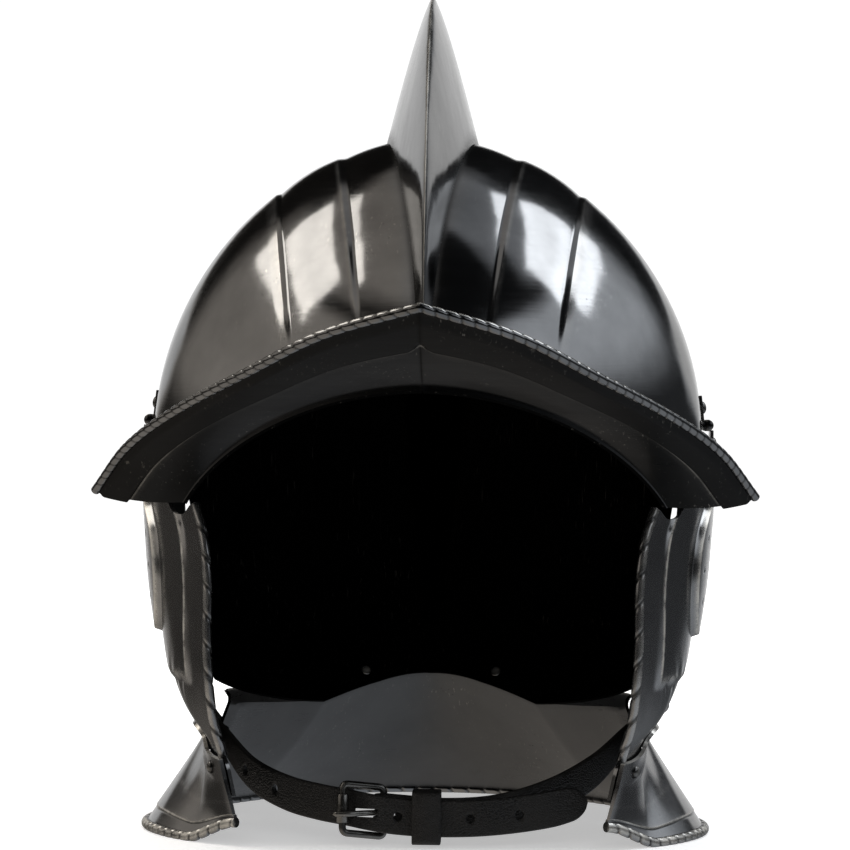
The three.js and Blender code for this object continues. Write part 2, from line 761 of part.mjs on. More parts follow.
// A rivet stands on the outer face, with its shank going in through a stack of plates
function rivetSolid({ at, direction, stack }) {
  const dome = [0, 45, 85].map((turn) => new THREE.Vector2(
    headRadius * Math.sin(radians(turn)),
    seat + headHeight * Math.cos(radians(turn)),
  ));
  const end = -stack - seat;
  const profile = [
    ...dome,
    new THREE.Vector2(shankRadius, seat),
    new THREE.Vector2(shankRadius, end),
    new THREE.Vector2(clenchRadius, end),
    new THREE.Vector2(0, end - clenchHeight),
  ];
  return place(new THREE.LatheGeometry(profile.reverse(), 6), at, direction);
}

const rivetBore = ({ at, direction }) => bore(at, direction, shankRadius + 2 * gap, 24, 7);

// Rivet seats on the right-hand side; the stack is measured from the outermost face
function cheekSeat(along, z, lift) {
  const surface = (u, v) => cheekPoint(u, v * 100, lift);
  const normal = normalOf(surface, along, z / 100);
  return { at: cheekPoint(along, z, lift), direction: normal.x < 0 ? normal.negate() : normal };
}

const lameStack = 2 * steel + lameGap;
const lameFrontRivet = { ...cheekSeat(0.09, 28.5, lameLift), stack: lameStack };
const lameRearRivet = { ...cheekSeat(0.8, 39.2, lameLift), stack: lameStack };

const across = new THREE.Vector3(1, 0, 0);
const knuckle = new THREE.Vector3(skull.halfWidth(90) + gap + knuckleRadius, hingeY, hingeZ);

function hingeLeaf(up) {
  const parts = up
    ? [{ from: -0.17, to: 0.17 }]
    : [{ from: -0.5, to: -0.19 }, { from: 0.19, to: 0.5 }];
  const shift = (knuckleRadius - leafThick / 2) * (up ? -1 : 1);
  const flat = new THREE.BoxGeometry(leafThick, hingeWidth, leafTall - knuckleRadius);
  flat.translate(shift, 0, (up ? 1 : -1) * (leafTall + knuckleRadius) / 2);
  let solid = toSolid(flat);
  parts.forEach(({ from, to }) => {
    const length = (to - from) * hingeWidth;
    const middle = ((from + to) / 2) * hingeWidth;
    const barrel = new THREE.CylinderGeometry(knuckleRadius, knuckleRadius, length, 10);
    const neck = new THREE.BoxGeometry(leafThick, length, knuckleRadius + 0.6);
    neck.translate(shift, middle, (up ? 1 : -1) * (knuckleRadius + 0.6) / 2);
    solid = solid.add(toSolid(barrel.translate(0, middle, 0))).add(toSolid(neck));
  });
  solid = cut(solid, [new THREE.CylinderGeometry(pinRadius + gap, pinRadius + gap, hingeWidth + 4, 6)]);
  const geometry = toGeometry(solid);
  if (up) geometry.rotateY(radians(-upperLeafTilt));
  return geometry.translate(knuckle.x, knuckle.y, knuckle.z);
}

// Seats of the hinge rivets, on the outer faces of the leaves
function leafRivetSeat(up) {
  const height = (leafTall + knuckleRadius) / 2;
  const reach = up ? -knuckleRadius + leafThick : knuckleRadius;
  const local = new THREE.Vector3(reach, 0, up ? height : -height);
  const direction = across.clone();
  const axis = new THREE.Vector3(0, 1, 0);
  const tilt = up ? radians(-upperLeafTilt) : 0;
  local.applyAxisAngle(axis, tilt);
  direction.applyAxisAngle(axis, tilt);
  const stack = leafThick + steel + 1.6;
  return { at: local.add(knuckle), direction, stack };
}

function pinSolid() {
  const half = hingeWidth / 2;
  const profile = [
    [0, -half - 1.2], [pinHead, -half - 1], [pinHead, -half - gap], [pinRadius, -half - gap],
    [pinRadius, half + gap], [pinHead, half + gap], [pinHead, half + 1], [0, half + 1.2],
  ].map(([radius, at]) => new THREE.Vector2(radius, at));
  return new THREE.LatheGeometry(profile, 6).translate(knuckle.x, knuckle.y, knuckle.z);
}

const upright = new THREE.Vector3(0, 0, 1);

// A flat strip through a list of points, with its broad faces turned by each point's lean
function ribbon(stops, widthAt, thick) {
  const rings = stops.map(({ at, lean }, index) => {
    const before = stops[Math.max(index - 1, 0)].at;
    const after = stops[Math.min(index + 1, stops.length - 1)].at;
    const ahead = after.clone().sub(before).normalize();
    const face = ahead.clone().cross(upright).normalize();
    const wide = face.clone().cross(ahead).normalize().applyAxisAngle(ahead, radians(lean));
    const thin = wide.clone().cross(ahead).normalize();
    const half = widthAt(index / (stops.length - 1)) / 2;
    return [[1, 1], [1, -1], [-1, -1], [-1, 1]].map(([w, f]) => at.clone()
      .addScaledVector(wide, w * half)
      .addScaledVector(thin, (f * thick) / 2));
  });
  return toSolid(loft(rings));
}

// Evenly spaced stops along a smooth route
function stopsAlong(route, count) {
  const points = route.map(({ x, y, z }) => new THREE.Vector3(x, y, z));
  const curve = new THREE.CatmullRomCurve3(points, false, 'centripetal');
  return evenly(count).map((t) => {
    const part = curve.getUtoTmapping(t) * (route.length - 1);
    const index = Math.min(Math.floor(part), route.length - 2);
    const lean = mix(route[index].lean, route[index + 1].lean, part - index);
    return { at: curve.getPointAt(t), lean };
  });
}

// Where a strap end lies inside the cheekpiece, given for the right-hand side
function anchorSeat() {
  const seatOut = cheekSeat(strapAnchor.along, strapAnchor.z, -borderSink);
  const at = seatOut.at.clone().addScaledVector(seatOut.direction, -steel - strapAnchor.clear);
  return { ...seatOut, inside: at, stack: steel + strapAnchor.clear + strapThick / 2 };
}

const anchor = anchorSeat();
const strapRivetBore = rivetBore(anchor);

function longStrap() {
  const start = { x: -anchor.inside.x, y: anchor.inside.y, z: anchor.inside.z, lean: strapAnchor.lean };
  const rearward = { x: start.x + 0.3, y: start.y + 9, z: start.z, lean: strapAnchor.lean };
  const stops = stopsAlong([rearward, start, ...longStrapRoute], 23);
  const taper = (t) => strapWidth * (1 - 0.3 * smooth(t, tailTaper, 1));
  const holes = strapHoles.map((t) => {
    const index = Math.round(t * (stops.length - 1));
    const ahead = stops[index + 1].at.clone().sub(stops[index - 1].at).normalize();
    return bore(stops[index].at, ahead.cross(upright).normalize(), strapHoleRadius, 6);
  });
  const slot = new THREE.BoxGeometry(tongueSlot.long, 9, tongueSlot.tall)
    .translate(tongueSlot.x, heel.y - 4, heel.z);
  const tools = [...holes, slot, mirrored(strapRivetBore)];
  return toGeometry(cut(ribbon(stops, taper, strapThick), tools));
}

// The short strap turns round the heel bar and comes back on itself
function shortStrap() {
  const start = { x: anchor.inside.x, y: anchor.inside.y, z: anchor.inside.z, lean: strapAnchor.lean };
  const rearward = { x: start.x - 0.3, y: start.y + 9, z: start.z, lean: strapAnchor.lean };
  const around = strapThick / 2 + wireRadius + gap;
  const last = { x: heel.x, y: heel.y + around, z: heel.z, lean: 0 };
  const route = [rearward, start, ...shortStrapRoute, last].map((stop) => ({ ...stop, lean: -stop.lean }));
  const stops = stopsAlong(route, 22);
  [30, 60, 90, 120, 150, 180].forEach((turn) => stops.push({
    at: new THREE.Vector3(
      heel.x - around * Math.sin(radians(turn)),
      heel.y + around * Math.cos(radians(turn)),
      heel.z,
    ),
    lean: 0,
  }));
  [0.5, 1].forEach((part) => stops.push({
    at: new THREE.Vector3(heel.x + part * foldReach, heel.y - around, heel.z - part * 1.2),
    lean: 0,
  }));
  const slot = new THREE.BoxGeometry(foldSlot.long, 12, foldSlot.tall)
    .translate(heel.x - 0.5, heel.y, heel.z);
  return toGeometry(cut(ribbon(stops, () => strapWidth, strapThick), [slot, strapRivetBore]));
}

// A wire bent into a closed loop with rounded corners
function wireLoop(corners, radius, bend, sides = 6) {
  const path = [];
  corners.forEach((corner, index) => {
    const before = corners[(index + corners.length - 1) % corners.length];
    const after = corners[(index + 1) % corners.length];
    const inward = before.clone().sub(corner).setLength(bend).add(corner);
    const outwardEnd = after.clone().sub(corner).setLength(bend).add(corner);
    const bow = new THREE.QuadraticBezierCurve3(inward, corner, outwardEnd);
    path.push(...evenly(3).map((t) => bow.getPoint(t)));
  });
  const plane = corners[1].clone().sub(corners[0]).cross(corners[2].clone().sub(corners[1])).normalize();
  const points = [];
  path.forEach((at, index) => {
    const before = path[(index + path.length - 1) % path.length];
    const after = path[(index + 1) % path.length];
    const side = after.clone().sub(before).normalize().cross(plane);
    for (let i = 0; i < sides; i += 1) {
      const turn = (i / sides) * 2 * Math.PI;
      points.push(at.clone()
        .addScaledVector(side, radius * Math.cos(turn))
        .addScaledVector(plane, radius * Math.sin(turn)));
    }
  });
  const triangles = [];
  for (let ring = 0; ring < path.length; ring += 1) {
    const next = (ring + 1) % path.length;
    for (let i = 0; i < sides; i += 1) {
      const j = (i + 1) % sides;
      const [a, b] = [ring * sides + i, ring * sides + j];
      const [c, d] = [next * sides + j, next * sides + i];
      triangles.push(a, b, c, a, c, d);
    }
  }
  return closedGeometry(points, triangles);
}

function buckleFrame() {
  const half = buckleTall / 2 - wireRadius;
  return wireLoop([
    new THREE.Vector3(heel.x, heel.y, heel.z - half),
    new THREE.Vector3(heel.x, heel.y, heel.z + half),
    new THREE.Vector3(roller.x, roller.y, roller.z + half),
    new THREE.Vector3(roller.x, roller.y, roller.z - half),
  ], wireRadius, 2.2);
}

function rollerSleeve() {
  const inner = wireRadius + gap;
  const half = rollerLength / 2;
  const profile = [
    [inner, -half], [rollerRadius, -half], [rollerRadius, half], [inner, half], [inner, -half],
  ].map(([radius, at]) => new THREE.Vector2(radius, at));
  const sleeve = new THREE.LatheGeometry(profile, 10);
  return place(sleeve, new THREE.Vector3(roller.x, roller.y, roller.z), upright);
}

function tongue() {
  const front = roller.y - rollerRadius - tongueRadius - gap;
  const ringRadius = wireRadius + gap + tongueRadius;
  const eye = new THREE.TorusGeometry(ringRadius, tongueRadius, 6, 12).translate(heel.x, heel.y, heel.z);
  const path = [
    new THREE.Vector3(heel.x - 1.4, heel.y - ringRadius + 0.3, heel.z),
    new THREE.Vector3(tongueSlot.x - 0.6, roller.y + 0.2, heel.z),
    new THREE.Vector3(roller.x + 2.6, front, heel.z),
    new THREE.Vector3(roller.x - 3.6, front, heel.z),
  ];
  const rings = path.map((at, index) => {
    const before = path[Math.max(index - 1, 0)];
    const after = path[Math.min(index + 1, path.length - 1)];
    const ahead = after.clone().sub(before).normalize();
    const side = ahead.clone().cross(upright).normalize();
    return evenly(6).slice(0, 6).map((part) => at.clone()
      .addScaledVector(side, tongueRadius * Math.cos(part * 2 * Math.PI))
      .addScaledVector(upright, tongueRadius * Math.sin(part * 2 * Math.PI)));
  });
  return toGeometry(toSolid(loft(rings)).add(toSolid(eye)));
}

function strapKeeper() {
  const { x, width, wall, back, front, low, high } = keeper;
  const box = (extra, long) => new THREE.BoxGeometry(long, back - front + extra, high - low + extra)
    .translate(x, (back + front) / 2, (low + high) / 2);
  return toGeometry(toSolid(box(2 * wall, width)).subtract(toSolid(box(0, width + 4))));
}

function guardRivetSeat(side) {
  const lane = 3 * guardRivetAcross * side;
  const corner = mix(napeAngle, napeCornerAngle, guardRivetAcross ** 2);
  const angle = corner - 1 - (guardBand / 230) * (180 / Math.PI);
  const surface = (u, v) => skullPoint(u, v * 90, bandGap + steel);
  const normal = normalOf(surface, lane, angle / 90);
  const direction = normal.y < 0 ? normal.negate() : normal;
  return { at: surface(lane, angle / 90), direction, stack: 2 * steel + 2 * bandGap };
}

function buildSkull(guardRivets) {
  const crest = combSolid();
  const joined = toSolid(skullShell())
    .add(toSolid(peakPlate()))
    .add(toSolid(crest.outer))
    .subtract(toSolid(crest.hollow));
  const hingeBore = rivetBore(leafRivetSeat(true));
  const tools = [hingeBore, mirrored(hingeBore), ...guardRivets.map(rivetBore)];
  addPiece('skull', toGeometry(cut(joined, tools)), 'steel');
}

function buildGuard(guardRivets) {
  const solid = standing(toSolid(guardPlate()));
  addPiece('neck_guard', toGeometry(cut(solid, guardRivets.map(rivetBore))), 'steel');
  guardRivets.forEach((seatAt, index) => {
    addPiece(`neck_guard_rivet_${['left', 'right'][index]}`, rivetSolid(seatAt), 'steel');
  });
}

function buildSides() {
  const upperSeat = leafRivetSeat(true);
  const lowerSeat = leafRivetSeat(false);
  const lameSeats = [lameFrontRivet, lameRearRivet];
  const cheekBores = [lowerSeat, ...lameSeats, anchor].map(rivetBore);
  addPair('cheekpiece', toGeometry(cut(cheekSolid(), cheekBores)), 'steel');
  const lame = cut(standing(toSolid(lamePlate())), lameSeats.map(rivetBore));
  addPair('lower_lame', toGeometry(lame), 'steel');
  const upperLeaf = cut(toSolid(hingeLeaf(true)), [rivetBore(upperSeat)]);
  const lowerLeaf = cut(toSolid(hingeLeaf(false)), [rivetBore(lowerSeat)]);
  addPair('hinge_upper_leaf', toGeometry(upperLeaf), 'steel');
  addPair('hinge_lower_leaf', toGeometry(lowerLeaf), 'steel');
  addPair('hinge_pin', pinSolid(), 'steel');
  addPair('hinge_upper_rivet', rivetSolid(upperSeat), 'steel');
  addPair('hinge_lower_rivet', rivetSolid(lowerSeat), 'steel');
  addPair('lame_rivet_front', rivetSolid(lameFrontRivet), 'steel');
  addPair('lame_rivet_rear', rivetSolid(lameRearRivet), 'steel');
  addPair('strap_rivet', rivetSolid(anchor), 'steel');
}

function buildStrap() {
  addPiece('strap_long', longStrap(), 'leather');
  addPiece('strap_short', shortStrap(), 'leather');
  addPiece('strap_keeper', strapKeeper(), 'leather');
  addPiece('buckle_frame', buckleFrame(), 'steel');
  addPiece('buckle_roller', rollerSleeve(), 'steel');
  addPiece('buckle_tongue', tongue(), 'steel');
}

const guardRivets = [guardRivetSeat(-1), guardRivetSeat(1)];
buildSkull(guardRivets);
buildGuard(guardRivets);
buildSides();
buildStrap();

// The frame stands under the middle of the whole outline
const outline = new THREE.Box3().setFromObject(group);
const middle = outline.getCenter(new THREE.Vector3());
group.children.forEach((mesh) => mesh.geometry.translate(0, -middle.y, 0));

export default group;
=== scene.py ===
"""Looks of an open burgonet of blackened steel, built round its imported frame.

Shapes are worked out in millimetres from the same named sizes as the frame, then stored in metres.
"""

import math

import bmesh
import bpy
import numpy as np
from mathutils import Matrix, Vector


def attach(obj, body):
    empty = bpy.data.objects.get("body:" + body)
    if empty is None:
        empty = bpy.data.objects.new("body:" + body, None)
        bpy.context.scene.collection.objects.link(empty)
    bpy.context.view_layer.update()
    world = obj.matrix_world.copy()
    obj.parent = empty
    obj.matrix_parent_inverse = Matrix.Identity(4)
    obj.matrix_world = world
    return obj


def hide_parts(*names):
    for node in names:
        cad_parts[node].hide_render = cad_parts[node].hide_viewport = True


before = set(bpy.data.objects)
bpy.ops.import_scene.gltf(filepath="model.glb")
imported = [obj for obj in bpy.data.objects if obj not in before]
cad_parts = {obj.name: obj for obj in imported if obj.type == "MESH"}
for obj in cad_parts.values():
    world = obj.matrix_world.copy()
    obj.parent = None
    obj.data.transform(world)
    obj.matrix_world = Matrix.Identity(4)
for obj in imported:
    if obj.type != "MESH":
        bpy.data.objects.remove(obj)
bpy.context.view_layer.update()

# Plate and frame
MM = 0.001
FRAME_SHIFT = 12.05
STEEL = 1.5
BEAD_RADIUS = 2.6

# Axes
X, Y, Z = 0, 1, 2


def table(names, *rows):
    """Rows of numbers with named columns."""
    keys = names.split()
    return {key: np.array([row[i] for row in rows], float) for i, key in enumerate(keys)}


def column(rows, key, name):
    """Smooth curve through one named column of a table."""
    at, values = rows[key], rows[name]
    slope = np.gradient(values, at)
    slope[1:-1] = (values[2:] - values[:-2]) / (at[2:] - at[:-2])

    def curve(where):
        where = np.asarray(where, float)
        low = np.clip(np.searchsorted(at, where, side="right") - 1, 0, len(at) - 2)
        span = at[low + 1] - at[low]
        t = np.clip((where - at[low]) / span, 0, 1)
        return ((2 * t**3 - 3 * t**2 + 1) * values[low] + (t**3 - 2 * t**2 + t) * slope[low] * span
                + (3 * t**2 - 2 * t**3) * values[low + 1] + (t**3 - t**2) * slope[low + 1] * span)

    return curve


def columns(rows, key):
    """Smooth curves through all columns of a table, over the column named by key."""
    return {name: column(rows, key, name) for name in rows if name != key}


def mix(a, b, t):
    return a + (b - a) * t


def smooth(value, low, high):
    """Soft step from 0 at low to 1 at high."""
    t = np.clip((np.asarray(value, float) - low) / (high - low), 0, 1)
    return t * t * (3 - 2 * t)


def signed_power(value, power):
    """Power of a value's size, with the value's own sign."""
    return np.sign(value) * np.abs(value) ** power


def vec(x, y, z):
    """Points from their coordinates, which are numbers or arrays."""
    x, y, z = np.broadcast_arrays(x, y, z)
    return np.stack([x, y, z], axis=-1).astype(float)


def unit(v):
    return v / np.maximum(np.linalg.norm(v, axis=-1, keepdims=True), 1e-9)


def spread(*stretches):
    """Positions along a line: each stretch is (start, end, count), joined end to end."""
    parts = [np.linspace(a, b, n, endpoint=False) for a, b, n in stretches]
    return np.concatenate([*parts, [stretches[-1][1]]])


def both_sides(half):
    """Positions of one side, which start at 0, with their mirror images before them."""
    return np.concatenate([-half[:0:-1], half])


# Skull, with two stepped flutes on each side
AXIS_Y, AXIS_Z = -10, 90
BROW, NAPE, NAPE_CORNER = 38.5, 198, 222
SECTION = 1.9
SKULL = columns(table(
    "angle radius half centre rim",
    (37, 136.5, 101.6, 20, 66), (38.5, 138, 102, 22, 66), (55, 157.5, 105, 42, 63),
    (72, 173.2, 107.3, 60, 61), (90, 184, 107.6, 70, 60), (108, 184.8, 107.6, 66, 64),
    (126, 176.5, 106.5, 50, 72), (144, 160, 105, 34, 70), (162, 138, 103, 23, 60),
    (180, 122, 101.5, 20, 55), (198, 110, 99, 20, 55), (222, 99, 94.5, 20, 66),
), "angle")
FLUTE_STEP = 1.3
PANEL_CROWN = 0.7
FLUTE = columns(table(
    "angle first second depth",
    (37, .22, .48, 0), (46, .24, .49, .25), (60, .28, .52, 1), (90, .345, .57, 1),
    (130, .33, .56, 1), (175, .26, .5, .6), (198, .22, .46, 0), (222, .22, .46, 0),
), "angle")
COMB_SWELL, COMB_RIDGE_WALL = 0.78, 4.5
COMB = columns(table(
    "angle height foot",
    (37, .3, .8), (39.5, .8, 1), (47, 9, 2.6), (56, 22, 4.8), (66, 36.5, 8.2), (78, 49.5, 12.8),
    (92, 57, 17.6), (108, 56.5, 20.6), (126, 49.5, 20), (144, 38, 16), (162, 23, 11),
    (178, 10, 6.5), (191, 1.2, 2.6), (205, .3, 1), (222, .3, .8),
), "angle")


def fan_point(angle, radius, x):
    """Point at an angle over the skull: 0 is straight ahead, 90 the crown and 180 straight behind."""
    turn = np.radians(angle)
    return vec(x, AXIS_Y - radius * np.cos(turn), AXIS_Z + radius * np.sin(turn))


def skull_knots(angle):
    """Section angles of the crown, the two flutes and the rim."""
    radius, centre, rim = SKULL["radius"](angle), SKULL["centre"](angle), SKULL["rim"](angle)
    end = np.arccos(signed_power((rim - centre) / (radius - centre), SECTION / 2))
    line = [np.arcsin(FLUTE[name](angle) ** (SECTION / 2)) for name in ("first", "second")]
    return [np.zeros_like(end), *line, end]


def normals_of(grid):
    """Unit normals of a grid of points, by differences along its rows and columns."""
    return unit(np.cross(np.gradient(grid, axis=1), np.gradient(grid, axis=0)))


def facing(directions, axis):
    """The directions, each turned so that it looks up the axis."""
    return directions * np.where(directions[..., axis, None] < 0, -1, 1)


def edge_face(path, inside, axis):
    """Outward direction of a plate along its edge, from the edge and a line inside it."""
    return facing(unit(np.cross(np.gradient(path, axis=0), path - inside)), axis)


# Closed sheets and rods; the two materials only keep the places of a piece's own
OUTER, INNER = bpy.data.materials.new("outer"), bpy.data.materials.new("inner")


class Body:
    """Collects closed sheets and rods of one piece, then makes its object."""

    def __init__(self):
        self.points, self.faces, self.shades = [], [], []
        self.wear, self.hollow, self.count = [], [], 0

    def add(self, points, faces, wear=0.0, hollow=0.0, shade=0):
        """Takes points and faces; shade numbers the material of the faces."""
        points = np.asarray(points, float).reshape(-1, 3)
        self.faces.append(np.asarray(faces) + self.count)
        self.shades.append(np.broadcast_to(np.asarray(shade), (len(faces),)))
        self.points.append(points)
        self.wear.append(np.broadcast_to(np.asarray(wear, float).ravel(), (len(points),)))
        self.hollow.append(np.broadcast_to(np.asarray(hollow, float).ravel(), (len(points),)))
        self.count += len(points)
        return self

    def sheet(self, outer, inner, wear=0.0, hollow=0.0, edge=0):
        """Closed plate between two grids of points; its inner face takes the second material."""
        rows, cols = outer.shape[:2]
        index = np.arange(rows * cols).reshape(rows, cols)
        back = index + rows * cols
        quads = [grid_faces(index), grid_faces(back)[:, ::-1]]
        rim = np.concatenate([index[0, :], index[1:, -1], index[-1, -2::-1], index[-2:0:-1, 0]])
        after = np.roll(rim, -1)
        quads.append(np.stack([after, rim, rim + rows * cols, after + rows * cols], axis=1))
        both = [np.broadcast_to(np.asarray(v, float), (rows, cols)).ravel() for v in (wear, hollow)]
        points = np.concatenate([outer.reshape(-1, 3), inner.reshape(-1, 3)])
        shade = np.repeat((0, 1, edge), [len(part) for part in quads])
        return self.add(points, np.concatenate(quads), np.tile(both[0], 2), np.tile(both[1], 2), shade)

    def tube(self, grid, wear=0.0, hollow=0.0, loop=False):
        """Rod through rings of points; its ends are capped unless it is a loop."""
        rows, cols = grid.shape[:2]
        index = np.arange(rows * cols).reshape(rows, cols)
        index = np.concatenate([index, index[:, :1]], axis=1)
        if loop:
            index = np.concatenate([index, index[:1]], axis=0)
        points, quads = grid.reshape(-1, 3), grid_faces(index)
        values = [np.broadcast_to(np.asarray(v, float), (rows, cols)).ravel() for v in (wear, hollow)]
        if not loop:
            caps = np.stack([grid[0].mean(axis=0), grid[-1].mean(axis=0)])
            points = np.concatenate([points, caps])
            values = [np.concatenate([v, v[[0, -1]]]) for v in values]
            first, last = rows * cols, rows * cols + 1
            ring, end = index[0], index[-1]
            front = [[ring[i + 1], ring[i], first, first] for i in range(cols)]
            rear = [[end[i], end[i + 1], last, last] for i in range(cols)]
            quads = np.concatenate([quads, front, rear])
        return self.add(points, quads, *values)

    def above_ground(self):
        """Lifts the points that lie below the ground onto it."""
        self.points = [np.maximum(points, (-np.inf, -np.inf, 0)) for points in self.points]
        return self

    def make(self, name, sharp=38):
        """The piece's object, moved from the drawing's middle to the frame's."""
        points = np.concatenate(self.points) + (0, FRAME_SHIFT, 0)
        faces = [list(dict.fromkeys(f)) for f in np.concatenate(self.faces).tolist()]
        mesh = bpy.data.meshes.new(name)
        mesh.from_pydata((points * MM).tolist(), [], faces)
        mesh.polygons.foreach_set("material_index", np.concatenate(self.shades))
        mesh.materials.append(OUTER)
        mesh.materials.append(INNER)
        # The hollow mark says where the steel's colour is darkened as painted shade
        for key, values in (("wear", self.wear), ("hollow", self.hollow)):
            layer = mesh.attributes.new(key, "FLOAT", "POINT")
            layer.data.foreach_set("value", np.concatenate(values))
        tidy = bmesh.new()
        tidy.from_mesh(mesh)
        bmesh.ops.recalc_face_normals(tidy, faces=tidy.faces)
        tidy.to_mesh(mesh)
        tidy.free()
        mesh.shade_smooth()
        mesh.set_sharp_from_angle(angle=math.radians(sharp))
        piece = bpy.data.objects.new(name, mesh)
        bpy.context.scene.collection.objects.link(piece)
        return piece


def grid_faces(index):
    """Quads over a grid of point numbers."""
    return np.stack([index[:-1, :-1], index[:-1, 1:], index[1:, 1:], index[1:, :-1]],
                    axis=-1).reshape(-1, 4)


def resample(path, step):
    """Even points along a path, and the length along it."""
    run = np.concatenate([[0], np.cumsum(np.linalg.norm(np.diff(path, axis=0), axis=1))])
    count = max(int(round(run[-1] / step)), 2)
    at = np.linspace(0, run[-1], count + 1)
    return np.stack([np.interp(at, run, path[:, k]) for k in range(3)], axis=1), at


ROPE_SIDES, ROPE_STEP, ROPE_TURNS = 20, 0.5, 0.9
STRAND_GROOVE, STRAND_LOBE = 0.17, 0.08


def rope(path, face, pitch, radius=BEAD_RADIUS, cut=0.16, turns=ROPE_TURNS, ends=4.0, wear=0.25):
    """Turned edge filed into a rope: rings of points along a path, with their wear and the painted shade
    of their grooves.

    face is the direction in which the plate's outer side looks at each point of the path.
    """
    run = np.concatenate([[0], np.cumsum(np.linalg.norm(np.diff(path, axis=0), axis=1))])
    middle, at = resample(path, ROPE_STEP)
    facing = np.stack([np.interp(at, run, face[:, k]) for k in range(3)], axis=1)
    ahead = unit(np.gradient(middle, axis=0))
    side = unit(np.cross(ahead, facing))
    up = np.cross(side, ahead)
    turn = np.linspace(0, 2 * np.pi, ROPE_SIDES, endpoint=False)
    phase = at[:, None] / pitch + turns * turn[None] / (2 * np.pi)
    from_groove = np.abs(((phase + 0.5) % 1) - 0.5) * 2
    depth = np.exp(-(from_groove / STRAND_GROOVE) ** 2)
    lobe = STRAND_LOBE * (1 - np.sin(np.pi * from_groove / 2)) ** 2
    fade = smooth(np.minimum(at, at[-1] - at), 0.2, ends)[:, None]
    size = radius * (1 - fade * (cut * depth + lobe))
    rings = (middle[:, None] + side[:, None] * (size * np.cos(turn))[..., None]
             + up[:, None] * (size * np.sin(turn))[..., None])
    return rings, wear * (1 - depth) * smooth(np.sin(turn), .1, .95), depth * fade


# Skull shell with its comb
STEP_FACE = 0.09


def flute_ramp(part):
    """How far a panel has sunk, 0 at its inner edge, with a steep face at its outer edge."""
    back = (part - 1 + STEP_FACE) / STEP_FACE
    fall = 0.5 * smooth(back, 0, 1) + 0.5 * np.clip(back, 0, 1)
    return part * (1 - fall)


def skull_lane(lane, angle, lift=0.0):
    """Point on the skull: lane runs -3..3 over the three panels of each side."""
    lane, angle = np.broadcast_arrays(np.asarray(lane, float), np.asarray(angle, float))
    side = np.abs(lane)
    panel = np.minimum(np.floor(side), 2).astype(int)
    part = side - panel
    knots = np.stack(skull_knots(angle))
    low = np.take_along_axis(knots, panel[None], 0)[0]
    high = np.take_along_axis(knots, np.minimum(panel + 1, 3)[None], 0)[0]
    lean = mix(low, high, part)
    depth = FLUTE["depth"](angle) * (panel < 2)
    lifted = lift + depth * (PANEL_CROWN * 4 * part * (1 - part) - FLUTE_STEP * flute_ramp(part))
    radius, centre, half = SKULL["radius"](angle), SKULL["centre"](angle), SKULL["half"](angle)
    x = (half + lifted) * np.sin(lean) ** (2 / SECTION) * np.sign(lane)
    rise = (radius - centre + lifted) * signed_power(np.cos(lean), 2 / SECTION)
    return fan_point(angle, centre + rise, x)


def comb_foot_lane(angle):
    """Lane on which the comb's foot meets the shell."""
    foot = COMB["foot"](angle) / SKULL["half"](angle)
    return np.arcsin(foot ** (SECTION / 2)) / skull_knots(angle)[1]


def nape_end(lane):
    """Angle at which the shell ends behind, lower towards its corners."""
    return mix(NAPE, NAPE_CORNER, (np.abs(lane) / 3) ** 2)


CORNER_TUCK = 0.55


def skull_sheet(across, along, lift=0.0, ridge_wall=0.0):
    """The shell and the comb in one sheet: across is 0 on the ridge, 1 at the foot, 4 at the rim."""
    across, along = np.meshgrid(across, along)
    side, sign = np.abs(across), np.where(across < 0, -1, 1)
    lane = np.clip(side - 1, 0, 3)
    angle = mix(BROW - 1, nape_end(lane), along)
    lane = lane + CORNER_TUCK * smooth(angle, 197, 214) * np.clip(side - 3, 0, 1)
    foot = comb_foot_lane(angle)
    lane = np.where(side < 1, foot, np.where(side < 2, mix(foot, 1, side - 1), lane))
    shell = skull_lane(lane * sign, angle, lift)
    turn = np.radians(angle)
    foot_radius = -(shell[..., 1] - AXIS_Y) * np.cos(turn) + (shell[..., 2] - AXIS_Z) * np.sin(turn)
    top = SKULL["radius"](angle) + COMB["height"](angle) - ridge_wall
    top = np.maximum(top, foot_radius + 0.05)
    drop = np.clip(side, 0, 1) ** 1.35
    flank = fan_point(angle, mix(top, foot_radius, drop),
                      (COMB["foot"](angle) + lift) * drop ** COMB_SWELL * sign)
    return np.where((side < 1)[..., None], flank, shell), side, angle


def build_skull():
    """Shell and comb in one sheet, finer at the ridge, the comb's foot and the flutes."""
    half = spread((0, .12, 5), (.12, .9, 15), (.9, 1, 4), (1, 1.12, 5), (1.12, 1.86, 15),
                  (1.86, 2, 9), (2, 2.88, 17), (2.88, 3, 8), (3, 3.95, 22), (3.95, 4, 2))
    across = both_sides(half)
    along = np.linspace(0, 1, 170)
    outer, side, angle = skull_sheet(across, along)
    inner = skull_sheet(across, along, -STEEL, COMB_RIDGE_WALL)[0]
    ridge = np.exp(-(side / 0.07) ** 2) * smooth(angle, 38, 42) * (1 - smooth(angle, 186, 194))
    crest = (np.exp(-((side - 2) / 0.025) ** 2) + np.exp(-((side - 3) / 0.025) ** 2))
    wear = np.maximum(0.5 * ridge, 0.15 * crest * FLUTE["depth"](angle))
    # Painted shade: a dark line where the comb's foot meets the shell, carried by the hollow mark
    foot = np.exp(-((side - 1) / 0.06) ** 2) * smooth(COMB["height"](angle), 1, 8)
    # The shell's edge faces take the inside material, black as painted shade
    return Body().sheet(outer, inner, wear, 0.6 * foot, edge=1).make("skull_and_comb", sharp=28)


